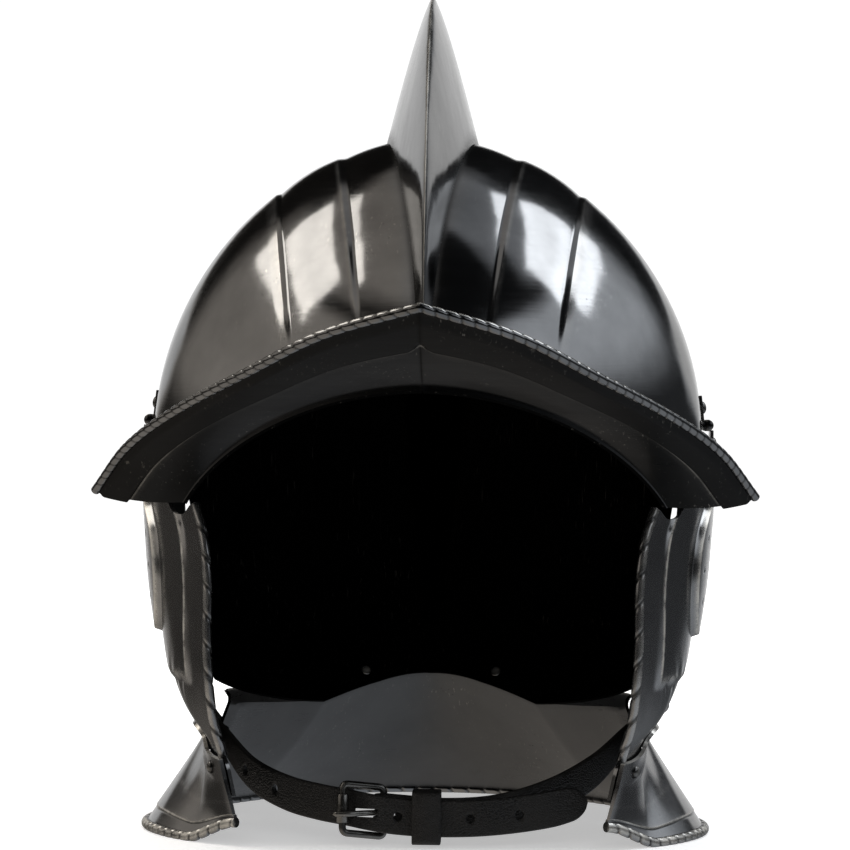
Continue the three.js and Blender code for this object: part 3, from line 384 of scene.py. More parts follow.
# Peak with its roped edge and sunk border
PEAK_EDGE = columns(table(
    "across x y z",
    (0, 0, -180, 203.4), (.3, 35, -168, 193.4), (.55, 63, -147.5, 180), (.8, 94, -113, 164.5),
    (.92, 113, -87, 151.5), (1, 127, -62, 135),
), "across")
PEAK_REACH, PEAK_SAG, PEAK_BORDER, BORDER_SINK = 62, 3.2, 0.6, 1.5
PEAK_PITCH, PEAK_ROLL = 5.0, 1.8


def peak_point(across, out):
    """Middle of the peak's plate: across runs -1..1, out is 0 at its root and 1 at its tip."""
    across, out = np.broadcast_arrays(np.asarray(across, float), np.asarray(out, float))
    side = np.abs(across)
    root = skull_lane(3 * side * 0.999, BROW, -STEEL / 2)
    tip = vec(*(PEAK_EDGE[name](side) for name in "xyz"))
    point = mix(root, tip, out[..., None])
    point[..., 2] -= PEAK_SAG * np.sin(np.pi * np.clip(out, 0, 1)) * (1 - 0.5 * side)
    point[..., 0] *= np.where(across < 0, -1, 1)
    return point


def build_peak():
    """Plate with its sunk border and a rope along its edge."""
    bead_at = 1 - PEAK_ROLL / PEAK_REACH
    half = spread((0, .03, 4), (.03, .97, 74), (.97, 1, 4))
    across, out = np.meshgrid(both_sides(half), spread((0, .56, 10), (.56, .64, 9), (.64, .84, 6),
                                                       (.84, bead_at, 6)))
    middle = peak_point(across, out)
    normal = facing(normals_of(middle), Z)
    start = PEAK_BORDER + 0.05 * np.exp(-(across / 0.03) ** 2)
    sunk = BORDER_SINK * smooth(out, start - 0.012, start + 0.012) * (1 - smooth(out, .86, .93))
    middle = middle - normal * sunk[..., None]
    # Painted highlight: a light band just inside the border's groove, carried as wear
    step = 0.2 * np.exp(-((out - start + .022) / 0.012) ** 2)
    # Painted shade: the border's groove, the sunk border and the centre crease (keel) are darkened through
    # the hollow mark
    keel = np.exp(-(across / .006) ** 2)
    groove = np.exp(-((out - start) / 0.016) ** 2) + .45 * smooth(out, start, start + .02)
    body = Body().sheet(middle + normal * STEEL / 2, middle - normal * STEEL / 2, step,
                        np.clip(groove + keel, 0, 1), edge=1)
    lane = spread((-1, 1, 240))
    path = peak_point(lane, bead_at)
    face = edge_face(path, peak_point(lane, 0.9), Z)
    # The rope's rubbed top is partly real wear and partly a painted highlight that stands in for its
    # reflection
    body.tube(*rope(path, face, PEAK_PITCH, PEAK_ROLL, cut=.09, wear=.7))
    return body.make("peak")


# Neck guard
GUARD_BAND, BAND_ARM, BAND_GAP, GUARD_HALF_WIDTH = 9, 115, 0.6, 101
GUARD_FRONT, GUARD_BACK, GUARD_SPREAD, GUARD_REACH, GUARD_HOLLOW = 47, 156, 78, 74, 6
GUARD_RIM_Z = 0.8
GUARD_PITCH, GUARD_TUCK = 7.5, 0.07


def guard_point(across, down):
    """Outer face of the neck guard: down runs -1..0 over its band and 0..1 over its flare."""
    across, down = np.broadcast_arrays(np.asarray(across, float), np.asarray(down, float))
    lane, corner, lift = 3 * across, nape_end(3 * across), BAND_GAP + STEEL
    band = skull_lane(lane, corner - 1 + np.degrees(GUARD_BAND / BAND_ARM) * np.minimum(down, 0), lift)
    spin, widest = np.radians(GUARD_SPREAD * across), math.radians(GUARD_SPREAD)
    rim = vec(GUARD_HALF_WIDTH * np.sin(spin) / math.sin(widest),
              mix(GUARD_FRONT, GUARD_BACK, 1 - (1 - np.cos(spin)) / (1 - math.cos(widest))),
              GUARD_RIM_Z)
    flare = mix(skull_lane(lane, corner - 1, lift), rim, np.maximum(down, 0)[..., None])
    hollow = GUARD_HOLLOW * np.sin(np.pi * np.clip(down, 0, 1)) * 0.5
    flare[..., 2] -= hollow
    flare[..., 1] -= hollow * np.cos(spin)
    return np.where((down <= 0)[..., None], band, flare)


def build_guard():
    """Plate under the nape with a rope along its edge."""
    bead_at = 1 - BEAD_RADIUS / GUARD_REACH
    half = spread((0, .33, 22), (.33, 1, 50))
    across, down = np.meshgrid(both_sides(half), spread((-1, 0, 5), (0, .06, 5), (.06, .85, 30),
                                                        (.85, bead_at, 6)))
    across = across * (1 + GUARD_TUCK * (1 - smooth(down, .1, .8)))
    outer = guard_point(across, down)
    normal = facing(normals_of(outer), Y)
    body = Body().sheet(outer, outer - normal * STEEL, 0.6 * (1 - smooth(down, -1, -0.8)))
    lane = spread((-1, 1, 240))
    path = guard_point(lane, bead_at)
    face = edge_face(path, guard_point(lane, 0.9), Y)
    body.tube(*rope(path - face * STEEL / 2, face, GUARD_PITCH))
    return body.above_ground().make("guard_plate")


# Cheekpiece: its plan at each height is part of an ellipse
CHEEK_MID_Y, CHEEK_BACK, BORDER_WIDTH, BORDER_ARC, RIDGE_AT = 5, 120, 9, 15, 0.17
CHEEK_FOOT = (19, 28)
PANEL_FOOT, FOLD_HALF = 62, 4
CHEEK = columns(table(
    "z half front_x front_y rear_y",
    (16, 86.6, 72.5, -68.5, 34), (30, 87, 75.5, -70, 36), (37, 87.8, 77.2, -71, 38),
    (45, 94.4, 79.5, -72, 40), (54, 99.4, 81, -73.5, 43), (67, 103.4, 82, -75, 47),
    (80, 105.6, 82.5, -75, 49.5), (99, 108.4, 82.5, -74, 50), (118, 110, 84.5, -70.5, 50),
    (134, 110.9, 89.5, -64, 50), (160, 111, 93, -56, 50),
), "z")
CHEEK_TOP = column(table(
    "along z",
    (0, 130.5), (.17, 126.5), (.25, 143), (.3, 148), (.4, 152), (.47, 155.5), (.8, 155.5), (1, 149),
), "along", "z")
RIM_CLEAR, RIM_CLEAR_END = 1.3, -17
CHEEK_PITCH, CHEEK_ROLL = 11.0, 1.9


def cheek_point(along, z, lift=0.0):
    """Face of a cheekpiece: along is 0 in front and 1 behind, lift is the distance outwards."""
    along, z = np.broadcast_arrays(np.asarray(along, float), np.asarray(z, float))
    half, front_x = CHEEK["half"](z), CHEEK["front_x"](z)
    front = np.arcsin(front_x / half)
    ridge = np.arcsin(np.minimum((front_x + BORDER_WIDTH) / half, 0.985))
    rear = np.pi / 2 + np.arcsin((CHEEK["rear_y"](z) - CHEEK_MID_Y) / CHEEK_BACK)
    turn = np.where(along < RIDGE_AT, mix(front, ridge, along / RIDGE_AT),
                    mix(ridge, rear, (along - RIDGE_AT) / (1 - RIDGE_AT)))
    front_length = (CHEEK_MID_Y - CHEEK["front_y"](z)) / np.cos(front)
    length = np.where(turn < np.pi / 2, front_length, CHEEK_BACK)
    return vec((half + lift) * np.sin(turn), CHEEK_MID_Y - (length + lift) * np.cos(turn), z)


def skull_rim_z(y):
    """Height of the skull's side rim at a distance along Y."""
    rim = skull_lane(3.0, np.linspace(BROW, 120, 400))
    return np.interp(y, rim[:, 1], rim[:, 2])


def cheek_top(along):
    """Height of a cheekpiece's top edge, kept clear of the skull's rim in front."""
    wanted = CHEEK_TOP(along)
    y = cheek_point(along, wanted)[..., 1]
    return np.where(y < RIM_CLEAR_END, np.minimum(wanted, skull_rim_z(y) - RIM_CLEAR), wanted)


def cheek_sink(along, z):
    """How far a cheekpiece lies below its raised panel, with the hammer's unevenness."""
    wave = 0.6 * np.sin(along * 23 + 1) + 0.3 * np.sin(along * 47)
    panel = smooth(along, RIDGE_AT - 0.012, RIDGE_AT + 0.012)
    raised = smooth(z, PANEL_FOOT - 1.8 + wave, PANEL_FOOT + 1.8 + wave)
    dents = 0.16 * np.exp(-((z - PANEL_FOOT) / 7) ** 2) * np.sin(along * 61 + z * 0.35) * panel
    return BORDER_SINK * (1 - panel * raised) + dents * smooth(along, .2, .26)


BOSS_X, BOSS_Y, BOSS_Z = 110, -5, 105
BOSS_RADIUS, BOSS_RAISE, BOSS_SLOPE, BOSS_SIDES = 27, 3.0, 1.4, 96
BOSS_HOLES, BOSS_RING, HOLE_RADIUS, DRILL_LENGTH = 8, 17.5, 1.5, 40


def cheek_face(y, z, lift):
    """Outer face of the raised panel at a place seen from the side."""
    half = CHEEK["half"](z)
    front = np.arcsin(CHEEK["front_x"](z) / half)
    front_length = (CHEEK_MID_Y - CHEEK["front_y"](z)) / np.cos(front)
    part = (CHEEK_MID_Y - y) / np.where(y < CHEEK_MID_Y, front_length, CHEEK_BACK)
    return vec((half + lift) * np.sqrt(1 - part**2), y, z)


def round_bar(at, direction, radius, length, sides=40):
    """Rod used as a cutter."""
    direction = unit(np.asarray(direction, float))
    first = unit(np.cross(direction, (0.3, 0.2, 0.9)))
    second = np.cross(direction, first)
    turn = np.linspace(0, 2 * np.pi, sides, endpoint=False)[:, None]
    ring = radius * (first * np.cos(turn) + second * np.sin(turn))
    ends = np.asarray(at, float) + direction * np.array([-0.5, 0.5])[:, None, None] * length
    return Body().tube(ends + ring).make("cutter")


def pierce(piece, cutters):
    """Cuts the cutters out of the piece and removes them."""
    bpy.context.view_layer.objects.active = piece
    for cutter in cutters:
        hole = piece.modifiers.new("hole", "BOOLEAN")
        hole.operation, hole.solver, hole.object = "DIFFERENCE", "EXACT", cutter
        bpy.ops.object.modifier_apply(modifier=hole.name)
        bpy.data.objects.remove(cutter)
    return piece


def join(name, *pieces):
    """One object of several, under the given name."""
    with bpy.context.temp_override(active_object=pieces[0], selected_editable_objects=list(pieces)):
        bpy.ops.object.join()
    pieces[0].name = pieces[0].data.name = name
    return pieces[0]


def mirrored(grid, side):
    return grid * (side, 1, 1)


def build_cheek(name, side):
    """Plate with the opening at the ear, the pierced boss in it and a rope along its front edge."""
    top_rows = spread((0, 1, 14), (1, 1.06, 3), (1.06, 1.94, 9), (1.94, 2, 2), (2, 3, 60))
    bead_at = CHEEK_ROLL / BORDER_ARC * RIDGE_AT
    lanes = spread((0, .15, 9), (.15, .2, 18), (.2, 1, 90))
    lane, row = np.meshgrid(lanes, top_rows)
    foot = mix(CHEEK_FOOT[0], CHEEK_FOOT[1], smooth(lane, .1, .45))
    fold_low, fold_high = PANEL_FOOT - FOLD_HALF, PANEL_FOOT + FOLD_HALF
    z = np.where(row < 1, mix(foot, fold_low, np.clip(row, 0, 1)),
                 np.where(row < 2, mix(fold_low, fold_high, row - 1),
                          mix(fold_high, cheek_top(lane), np.clip(row - 2, 0, 1))))
    along = mix(lane, bead_at + lane * (1 - bead_at), smooth(z, 31, 36))
    sink = cheek_sink(along, z)
    outer, inner = cheek_point(along, z, -sink), cheek_point(along, z, -STEEL - sink)
    ridge = np.exp(-((along - RIDGE_AT - .012) / .006) ** 2) * smooth(z, PANEL_FOOT, fold_high)
    fold = np.exp(-((z - PANEL_FOOT - 2) / 1.4) ** 2) * smooth(along, RIDGE_AT, RIDGE_AT + .02)
    wear = np.maximum(0.8 * ridge, 0.4 * fold)
    plate = Body().sheet(mirrored(outer, side), mirrored(inner, side), wear).make("plate")
    drill = (side * BOSS_X, BOSS_Y, BOSS_Z)
    pierce(plate, [round_bar(drill, (1, 0, 0), BOSS_RADIUS + .2, DRILL_LENGTH, BOSS_SIDES)])
    radius, turn = np.meshgrid(spread((2, 20, 14), (20, 25.3, 5), (25.3, 27.2, 10), (27.2, 28.2, 2)),
                               np.linspace(0, 2 * np.pi, BOSS_SIDES, endpoint=False))
    rise = BOSS_RAISE * (1 - smooth(radius, BOSS_RADIUS - BOSS_SLOPE, BOSS_RADIUS))
    lap = 0.35 * smooth(radius, 26.9, 27.4)
    dome = [cheek_face(BOSS_Y + radius * np.cos(turn), BOSS_Z + radius * np.sin(turn), rise - deep)
            for deep in (lap, STEEL - lap)]
    rings = np.concatenate([dome[0], dome[1][:, ::-1]], axis=1)
    edge_wear = 0.7 * np.exp(-((radius - 25.8) / .45) ** 2) + .5 * np.exp(-((radius - 27.3) / .3) ** 2)
    wears = np.concatenate([edge_wear, edge_wear[:, ::-1]], axis=1).T
    boss = Body().tube(mirrored(np.transpose(rings, (1, 0, 2)), side), wears).make("boss")
    spots = [(BOSS_RING * math.cos(t), BOSS_RING * math.sin(t))
             for t in np.linspace(0, 2 * np.pi, BOSS_HOLES, endpoint=False)]
    pierce(boss, [round_bar(np.array(drill) + (0, y, z), (1, 0, 0), HOLE_RADIUS, DRILL_LENGTH, 28)
                  for y, z in [*spots, (0, 0)]])
    rise = np.linspace(33, float(cheek_top(bead_at)), 260)
    path = cheek_point(bead_at, rise, -STEEL / 2 - BORDER_SINK)
    face = unit(cheek_point(bead_at, rise, 5) - cheek_point(bead_at, rise, 0))
    rolled = Body().tube(*rope(mirrored(path, side), mirrored(face, side), CHEEK_PITCH,
                               CHEEK_ROLL, turns=side * ROPE_TURNS, ends=8)).make("roll")
    return join(name, plate, boss, rolled)


# Lower lame
LAME_RIM_WIDTH, LAME_RIM_LENGTH, LAME_RIM_FRONT_X, LAME_RIM_REAR_Y = 113.2, 94, 70.5, 36
LAME_MID_Y, LAME_GAP, LAME_REACH, LAME_FRONT_RISE = 3, 0.95, 34, 8
LAME_CREASE, LAME_TOP = (24, 37), (33, 42)
LAME_RIM_Z = 0.15
LAME_LIFT = LAME_GAP + STEEL - BORDER_SINK
LAME_PITCH, LAME_ROLL = 6.0, 2.0


def lame_point(along, down):
    """Outer face of a lame: down runs -1..0 over its band and 0..1 over its flare."""
    along, down = np.broadcast_arrays(np.asarray(along, float), np.asarray(down, float))
    to_side = smooth(along, .05, .5)
    crease_z = mix(*LAME_CREASE, to_side)
    band = cheek_point(along, mix(crease_z, mix(*LAME_TOP, to_side), np.maximum(-down, 0)), LAME_LIFT)
    front = math.asin(LAME_RIM_FRONT_X / LAME_RIM_WIDTH)
    rear = math.pi / 2 + math.asin((LAME_RIM_REAR_Y - LAME_MID_Y) / LAME_RIM_LENGTH)
    turn = mix(front, rear, along)
    rim = vec(LAME_RIM_WIDTH * np.sin(turn), LAME_MID_Y - LAME_RIM_LENGTH * np.cos(turn),
              LAME_RIM_Z + LAME_FRONT_RISE * (1 - smooth(along, 0, .22)))
    return mix(band, rim, np.maximum(down, 0)[..., None])


def build_lame(name, side):
    """Plate that laps over the foot of a cheekpiece, with a rope along its edge."""
    bead_at = 1 - LAME_ROLL / LAME_REACH
    along, down = np.meshgrid(spread((0, .2, 24), (.2, 1, 76)),
                              spread((-1, -.9, 2), (-.9, 0, 6), (0, .5, 12), (.5, .74, 6),
                                     (.74, .8, 6), (.8, bead_at, 4)))
    outer = lame_point(along, down)
    normal = facing(normals_of(outer), X)
    border = 0.45 * smooth(down, .755, .785) * (1 - smooth(down, .9, 1))
    crease = 0.5 * np.exp(-((down - 0.47) / .02) ** 2)
    outer = outer - normal * border[..., None]
    wear = 0.6 * np.exp(-((down - .76) / .012) ** 2) + 0.5 * (1 - smooth(down, -1, -.95)) + .2 * crease
    body = Body().sheet(mirrored(outer, side), mirrored(outer - normal * STEEL, side), wear)
    lane = spread((0, 1, 200))
    path = lame_point(lane, bead_at)
    face = edge_face(path, lame_point(lane, .88), X)
    path = path - face * STEEL / 2
    body.tube(*rope(mirrored(path, side), mirrored(face, side), LAME_PITCH, LAME_ROLL,
                    cut=.24, turns=side * ROPE_TURNS, wear=.6))
    return body.above_ground().make(name)


# Rivets and hinges
SHANK_RADIUS, HEAD_RADIUS, HEAD_HEIGHT, CLENCH_RADIUS, CLENCH_HEIGHT, SEAT = 1.5, 2.5, 1.6, 2.2, .8, .1
LAME_RIVETS = {"front": (.09, 28.5), "rear": (.8, 39.2)}


def lathe(at, direction, profile, sides=28):
    """Rings of a turned piece: the profile's rows are (radius, height along the direction)."""
    direction = unit(np.asarray(direction, float))
    first = unit(np.cross(direction, (0.31, 0.21, 0.93)))
    second = np.cross(direction, first)
    turn = np.linspace(0, 2 * np.pi, sides, endpoint=False)[:, None]
    ring = first * np.cos(turn) + second * np.sin(turn)
    rows = np.asarray(profile, float)
    return np.asarray(at, float) + direction * rows[:, 1, None, None] + ring * rows[:, 0, None, None]


def rivet(name, at, direction, stack):
    """Domed head outside, shank through the plates, clenched end inside."""
    dome = [(HEAD_RADIUS * math.sin(t), SEAT + HEAD_HEIGHT * math.cos(t))
            for t in np.radians(np.linspace(2, 90, 12))]
    end = -stack - SEAT
    tail = [(CLENCH_RADIUS * math.cos(t), end - CLENCH_HEIGHT * math.sin(t))
            for t in np.radians(np.linspace(0, 88, 7))]
    profile = [*dome, (HEAD_RADIUS * .96, SEAT - .1), (SHANK_RADIUS, SEAT - .1),
               (SHANK_RADIUS, end), *tail]
    wear = np.array([.8 * math.exp(-((r / HEAD_RADIUS) - .2) ** 2 / .3) for r, _ in profile])
    return Body().tube(lathe(at, direction, profile), wear[:, None]).make(name, sharp=50)


def cheek_seat(along, z, lift):
    """Place and outward direction on a cheekpiece's face, on the viewer's right."""
    at = cheek_point(along, z, lift)
    normal = unit(np.cross(cheek_point(along + .01, z, lift) - cheek_point(along - .01, z, lift),
                           cheek_point(along, z + 1, lift) - cheek_point(along, z - 1, lift)))
    return at, normal if normal[0] > 0 else -normal


GUARD_RIVET_ACROSS = 0.42


def guard_seat(side):
    """Place and outward direction of a rivet in the middle of the neck guard's band."""
    lane, lift = 3 * GUARD_RIVET_ACROSS * side, BAND_GAP + STEEL
    angle = nape_end(lane) - 1 - math.degrees(GUARD_BAND / BAND_ARM / 2)
    across = skull_lane(lane + .01, angle, lift) - skull_lane(lane - .01, angle, lift)
    along = skull_lane(lane, angle + .5, lift) - skull_lane(lane, angle - .5, lift)
    return skull_lane(lane, angle, lift), facing(unit(np.cross(across, along)), Y)


HINGE_Y, HINGE_Z, HINGE_WIDTH, LEAF_THICK, LEAF_TALL = -4, 162, 18, 1.1, 12
KNUCKLE_RADIUS, PIN_RADIUS, PIN_HEAD, LEAF_TILT = 2.3, 1, 1.7, 6
HINGE_GAP = 0.35
HINGE_X = float(SKULL["half"](90)) + HINGE_GAP + KNUCKLE_RADIUS
LEAF_CLEAR = 1.6


def rounded_box(low, high, bevel):
    """Points and faces of a slab with softened edges."""
    low, high = np.asarray(low, float), np.asarray(high, float)
    bm = bmesh.new()
    bmesh.ops.create_cube(bm, size=1)
    for v in bm.verts:
        v.co = Vector(low + (np.array(v.co) + .5) * (high - low))
    bmesh.ops.bevel(bm, geom=bm.edges[:], offset=bevel, segments=3, profile=.5, affect="EDGES")
    points = [tuple(v.co) for v in bm.verts]
    faces = [[v.index for v in f.verts] for f in bm.faces]
    bm.free()
    return points, faces


def leaf_tilt(up):
    return Matrix.Rotation(math.radians(-LEAF_TILT if up else 0), 3, "Y")


def hinge_leaf(name, up, side):
    """Slab of one leaf and its knuckles: one in the middle above, two outside it below."""
    sign = 1 if up else -1
    shift = (KNUCKLE_RADIUS - LEAF_THICK / 2) * -sign
    reach = sorted((sign * (KNUCKLE_RADIUS - .4), sign * LEAF_TALL))
    half = HINGE_WIDTH / 2
    body = Body()
    slab, faces = rounded_box((shift - LEAF_THICK / 2, -half, reach[0]),
                              (shift + LEAF_THICK / 2, half, reach[1]), .3)
    spans = [(-.17, .17)] if up else [(-.5, -.19), (.19, .5)]
    tilt = leaf_tilt(up)

    def place(points):
        points = np.asarray(points)
        tilted = np.array([tuple(tilt @ Vector(p)) for p in points.reshape(-1, 3)]).reshape(points.shape)
        return tilted * (side, 1, 1) + (side * HINGE_X, HINGE_Y, HINGE_Z)

    quads = [f if len(f) == 4 else [*f, f[-1]] for f in faces if len(f) <= 4]
    body.add(place(slab), quads, .25)
    for low, high in spans:
        barrel = lathe((0, 0, 0), (0, 1, 0), [
            (KNUCKLE_RADIUS - .3, low * HINGE_WIDTH), (KNUCKLE_RADIUS, low * HINGE_WIDTH + .3),
            (KNUCKLE_RADIUS, high * HINGE_WIDTH - .3), (KNUCKLE_RADIUS - .3, high * HINGE_WIDTH)])
        body.tube(place(barrel), .35)
    return body.make(name, sharp=50)


def leaf_seat(up):
    """Place and outward direction of a leaf's rivet, on the viewer's right."""
    height = (LEAF_TALL + KNUCKLE_RADIUS) / 2
    local = Vector((LEAF_THICK - KNUCKLE_RADIUS, 0, height) if up else (KNUCKLE_RADIUS, 0, -height))
    tilt = leaf_tilt(up)
    return np.array(tilt @ local) + (HINGE_X, HINGE_Y, HINGE_Z), np.array(tilt @ Vector((1, 0, 0)))


def hinge_pin(name, side):
    """Pin through the knuckles, with a flat head at each end."""
    near, head, end = (HINGE_WIDTH / 2 + beyond for beyond in (HINGE_GAP, .9, 1.3))
    profile = [(PIN_RADIUS, -end), (PIN_HEAD, -head), (PIN_HEAD, -near), (PIN_RADIUS, -near),
               (PIN_RADIUS, near), (PIN_HEAD, near), (PIN_HEAD, head), (PIN_RADIUS, end)]
    return Body().tube(lathe((side * HINGE_X, HINGE_Y, HINGE_Z), (0, 1, 0), profile)).make(name, sharp=50)


# Straps
STRAP_WIDTH, STRAP_THICK = 14, 2.2
ANCHOR_ALONG, ANCHOR_Z, ANCHOR_LEAN, ANCHOR_CLEAR = .7, 49, 33, 2.7
LONG_ROUTE = table(
    "x y z lean",
    (-84.6, -5, 42.5, 26), (-77, -20, 34.5, 18), (-66.5, -34, 24.5, 12), (-52, -48, 18.5, 5),
    (-38.5, -57.5, 16, 0), (-29, -62.2, 14.8, 0), (-19.5, -66.4, 13.4, 0), (-11, -67.6, 12.2, 0),
    (4, -67.7, 11.3, 0), (24, -67, 11.8, 0), (46, -63.5, 14.4, 0), (63, -57.5, 18, 0),
)
SHORT_ROUTE = table(
    "x y z lean",
    (84.6, -5, 43.5, 26), (77, -20, 36.5, 18), (65, -36.5, 26.5, 10), (48, -50, 18, 3),
    (28, -58, 12.8, 0), (8, -60.4, 11.6, 0), (-7, -58.8, 12.4, 0),
)
STRAP_HOLES, STRAP_HOLE_RADIUS, STRAP_STEPS = (.19, .29, .39, .67, .77, .87), 1.7, 23
TAIL_TAPER, FOLD_REACH = .93, 24
HEEL, ROLLER = np.array((-14.5, -61.6, 13)), np.array((-30, -66.6, 14.8))
BUCKLE_TALL, WIRE_RADIUS, ROLLER_RADIUS, ROLLER_LENGTH, TONGUE_RADIUS = 21.5, 1.4, 2.3, 11, 1.1
TONGUE_SLOT, FOLD_SLOT = (-20.8, 8.6, 3.4), (10, 3.4)
KEEPER = dict(x=2, width=11, wall=1.6, back=-57.1, front=-69.4, low=2.9, high=20.1)


def centripetal(points, per=24):
    """Smooth curve through points, and how far along the list each of its points lies."""
    ends = np.concatenate([[2 * points[0] - points[1]], points, [2 * points[-1] - points[-2]]])
    out, part = [], []
    t = np.linspace(0, 1, per, endpoint=False)[:, None]
    for i in range(len(points) - 1):
        a, b, c, d = ends[i:i + 4]
        before, span, after = (np.linalg.norm(q - p) ** .5 for p, q in ((a, b), (b, c), (c, d)))
        leave = ((b - a) / before - (c - a) / (before + span) + (c - b) / span) * span
        arrive = ((c - b) / span - (d - b) / (span + after) + (d - c) / after) * span
        out.append((2 * t**3 - 3 * t**2 + 1) * b + (t**3 - 2 * t**2 + t) * leave
                   + (3 * t**2 - 2 * t**3) * c + (t**3 - t**2) * arrive)
        part.append(i + t[:, 0])
    return (np.concatenate([*out, points[-1:]]), np.concatenate([*part, [len(points) - 1]]))


def strap_section(count=6):
    """Half-width and half-thickness round a leather's section, with soft edges."""
    soft = .42
    corner = np.radians(np.linspace(0, 90, count))
    quarter = np.stack([1 - soft * (1 - np.cos(corner)) * STRAP_THICK / STRAP_WIDTH * 2,
                        1 - soft * 2 * (1 - np.sin(corner))], axis=1)
    top = np.concatenate([quarter, [[.5, 1.03], [0, 1.05], [-.5, 1.03]],
                          quarter[::-1] * (-1, 1)])
    return np.concatenate([top, top[::-1] * (1, -1)])


def ribbon(at, lean, width):
    """Rings of a leather's section along a path."""
    ahead = unit(np.gradient(at, axis=0))
    face = unit(np.cross(ahead, (0, 0, 1)))
    wide = unit(np.cross(face, ahead))
    tip = np.radians(lean)[:, None]
    wide = wide * np.cos(tip) + np.cross(ahead, wide) * np.sin(tip)
    thin = np.cross(wide, ahead)
    section = strap_section()
    return (at[:, None] + wide[:, None] * section[None, :, :1] * width[:, None, None] / 2
            + thin[:, None] * section[None, :, 1:] * STRAP_THICK / 2)


def strap_start(side):
    """Two points inside a cheekpiece, at the rivet that holds the strap."""
    at, direction = cheek_seat(ANCHOR_ALONG, ANCHOR_Z, -BORDER_SINK)
    inside = (at - direction * (STEEL + ANCHOR_CLEAR)) * (side, 1, 1)
    return np.stack([inside + (-side * .3, 9, 0), inside])


def strap_path(side, route, tail=()):
    """Even points along a strap's middle, and its lean in degrees at each."""
    points = np.concatenate([strap_start(side), np.stack([route[k] for k in "xyz"], axis=1), *tail])
    upright = [0] * (len(points) - 2 - len(route["x"]))
    lean = np.concatenate([[ANCHOR_LEAN] * 2, route["lean"], upright])
    path, part = centripetal(points)
    even, at = resample(path, 1.1)
    run = np.concatenate([[0], np.cumsum(np.linalg.norm(np.diff(path, axis=0), axis=1))])
    return even, np.interp(np.interp(at, run, part), np.arange(len(lean)), lean) * -side


def slab_cutter(at, size):
    """Slab with soft edges, used as a cutter."""
    low = np.asarray(at, float) - np.asarray(size, float) / 2
    points, faces = rounded_box(low, low + size, .4)
    mesh = bpy.data.meshes.new("cutter")
    mesh.from_pydata([tuple((p + (0, FRAME_SHIFT, 0)) * MM) for p in np.asarray(points)], [], faces)
    cutter = bpy.data.objects.new("cutter", mesh)
    bpy.context.scene.collection.objects.link(cutter)
    return cutter


def build_long_strap():
    """The strap with the holes, each on a whole step of its length, and the prong's slot."""
    at, lean = strap_path(-1, LONG_ROUTE)
    t = np.linspace(0, 1, len(at))
    tip = np.sqrt(np.clip(1 - ((t - .965) / .035).clip(0) ** 2, .02, 1))
    width = STRAP_WIDTH * (1 - .12 * smooth(t, TAIL_TAPER, 1)) * tip
    strap = Body().tube(ribbon(at, lean, width)).make("strap_long", sharp=60)
    ahead = np.gradient(at, axis=0)
    cutters = []
    for part in STRAP_HOLES:
        i = int(round(round(part * STRAP_STEPS) / STRAP_STEPS * (len(at) - 1)))
        cutters.append(round_bar(at[i], np.cross(ahead[i], (0, 0, 1)), STRAP_HOLE_RADIUS, 6, 28))
    slot_x, slot_length, slot_tall = TONGUE_SLOT
    cutters.append(slab_cutter((slot_x, HEEL[1] - 4, HEEL[2]), (slot_length, 9, slot_tall)))
    return pierce(strap, cutters)


def build_short_strap():
    """The strap that carries the buckle, folded round the buckle's heel bar."""
    around = STRAP_THICK / 2 + WIRE_RADIUS + HINGE_GAP
    at, lean = strap_path(1, SHORT_ROUTE, [[HEEL + (0, around, 0)]])
    turn = np.radians(np.linspace(8, 180, 24))[:, None]
    fold = HEEL + around * (np.sin(turn) * (-1, 0, 0) + np.cos(turn) * (0, 1, 0))
    back = HEEL + (0, -around, 0) + np.linspace(.05, 1, 20)[:, None] * (FOLD_REACH, 0, -1.2)
    points = np.concatenate([at, fold, back])
    leans = np.concatenate([lean, np.zeros(44)])
    width = np.full(len(points), float(STRAP_WIDTH))
    strap = Body().tube(ribbon(points, leans, width)).make("strap_short", sharp=60)
    return pierce(strap, [slab_cutter(HEEL - (.5, 0, 0), (FOLD_SLOT[0], 12, FOLD_SLOT[1]))])


def rod(path, radius, sides=16, loop=False, across=None):
    """Rings of a round rod along a path."""
    ahead = unit(np.roll(path, -1, 0) - np.roll(path, 1, 0)) if loop else unit(np.gradient(path, axis=0))
    side = unit(np.cross(ahead, across if across is not None else (0, 0, 1)))
    up = np.cross(side, ahead)
    turn = np.linspace(0, 2 * np.pi, sides, endpoint=False)[:, None]
    size = np.broadcast_to(radius, (len(path),))[:, None, None]
    return path[:, None] + size * (side[:, None] * np.cos(turn) + up[:, None] * np.sin(turn))


def rounded_loop(corners, bend, per=8):
    """Closed path through corners with rounded bends and straight stretches."""
    corners = np.asarray(corners, float)
    path = []
    t = np.linspace(0, 1, per)[:, None]
    straight = np.linspace(0, 1, 8)[1:-1, None]
    for i, corner in enumerate(corners):
        following = corners[(i + 1) % len(corners)]
        start = corner + bend * unit(corners[i - 1] - corner)
        end = corner + bend * unit(following - corner)
        path.append((1 - t) ** 2 * start + 2 * t * (1 - t) * corner + t**2 * end)
        path.append(mix(end, following - bend * unit(following - corner), straight))
    return np.concatenate(path)


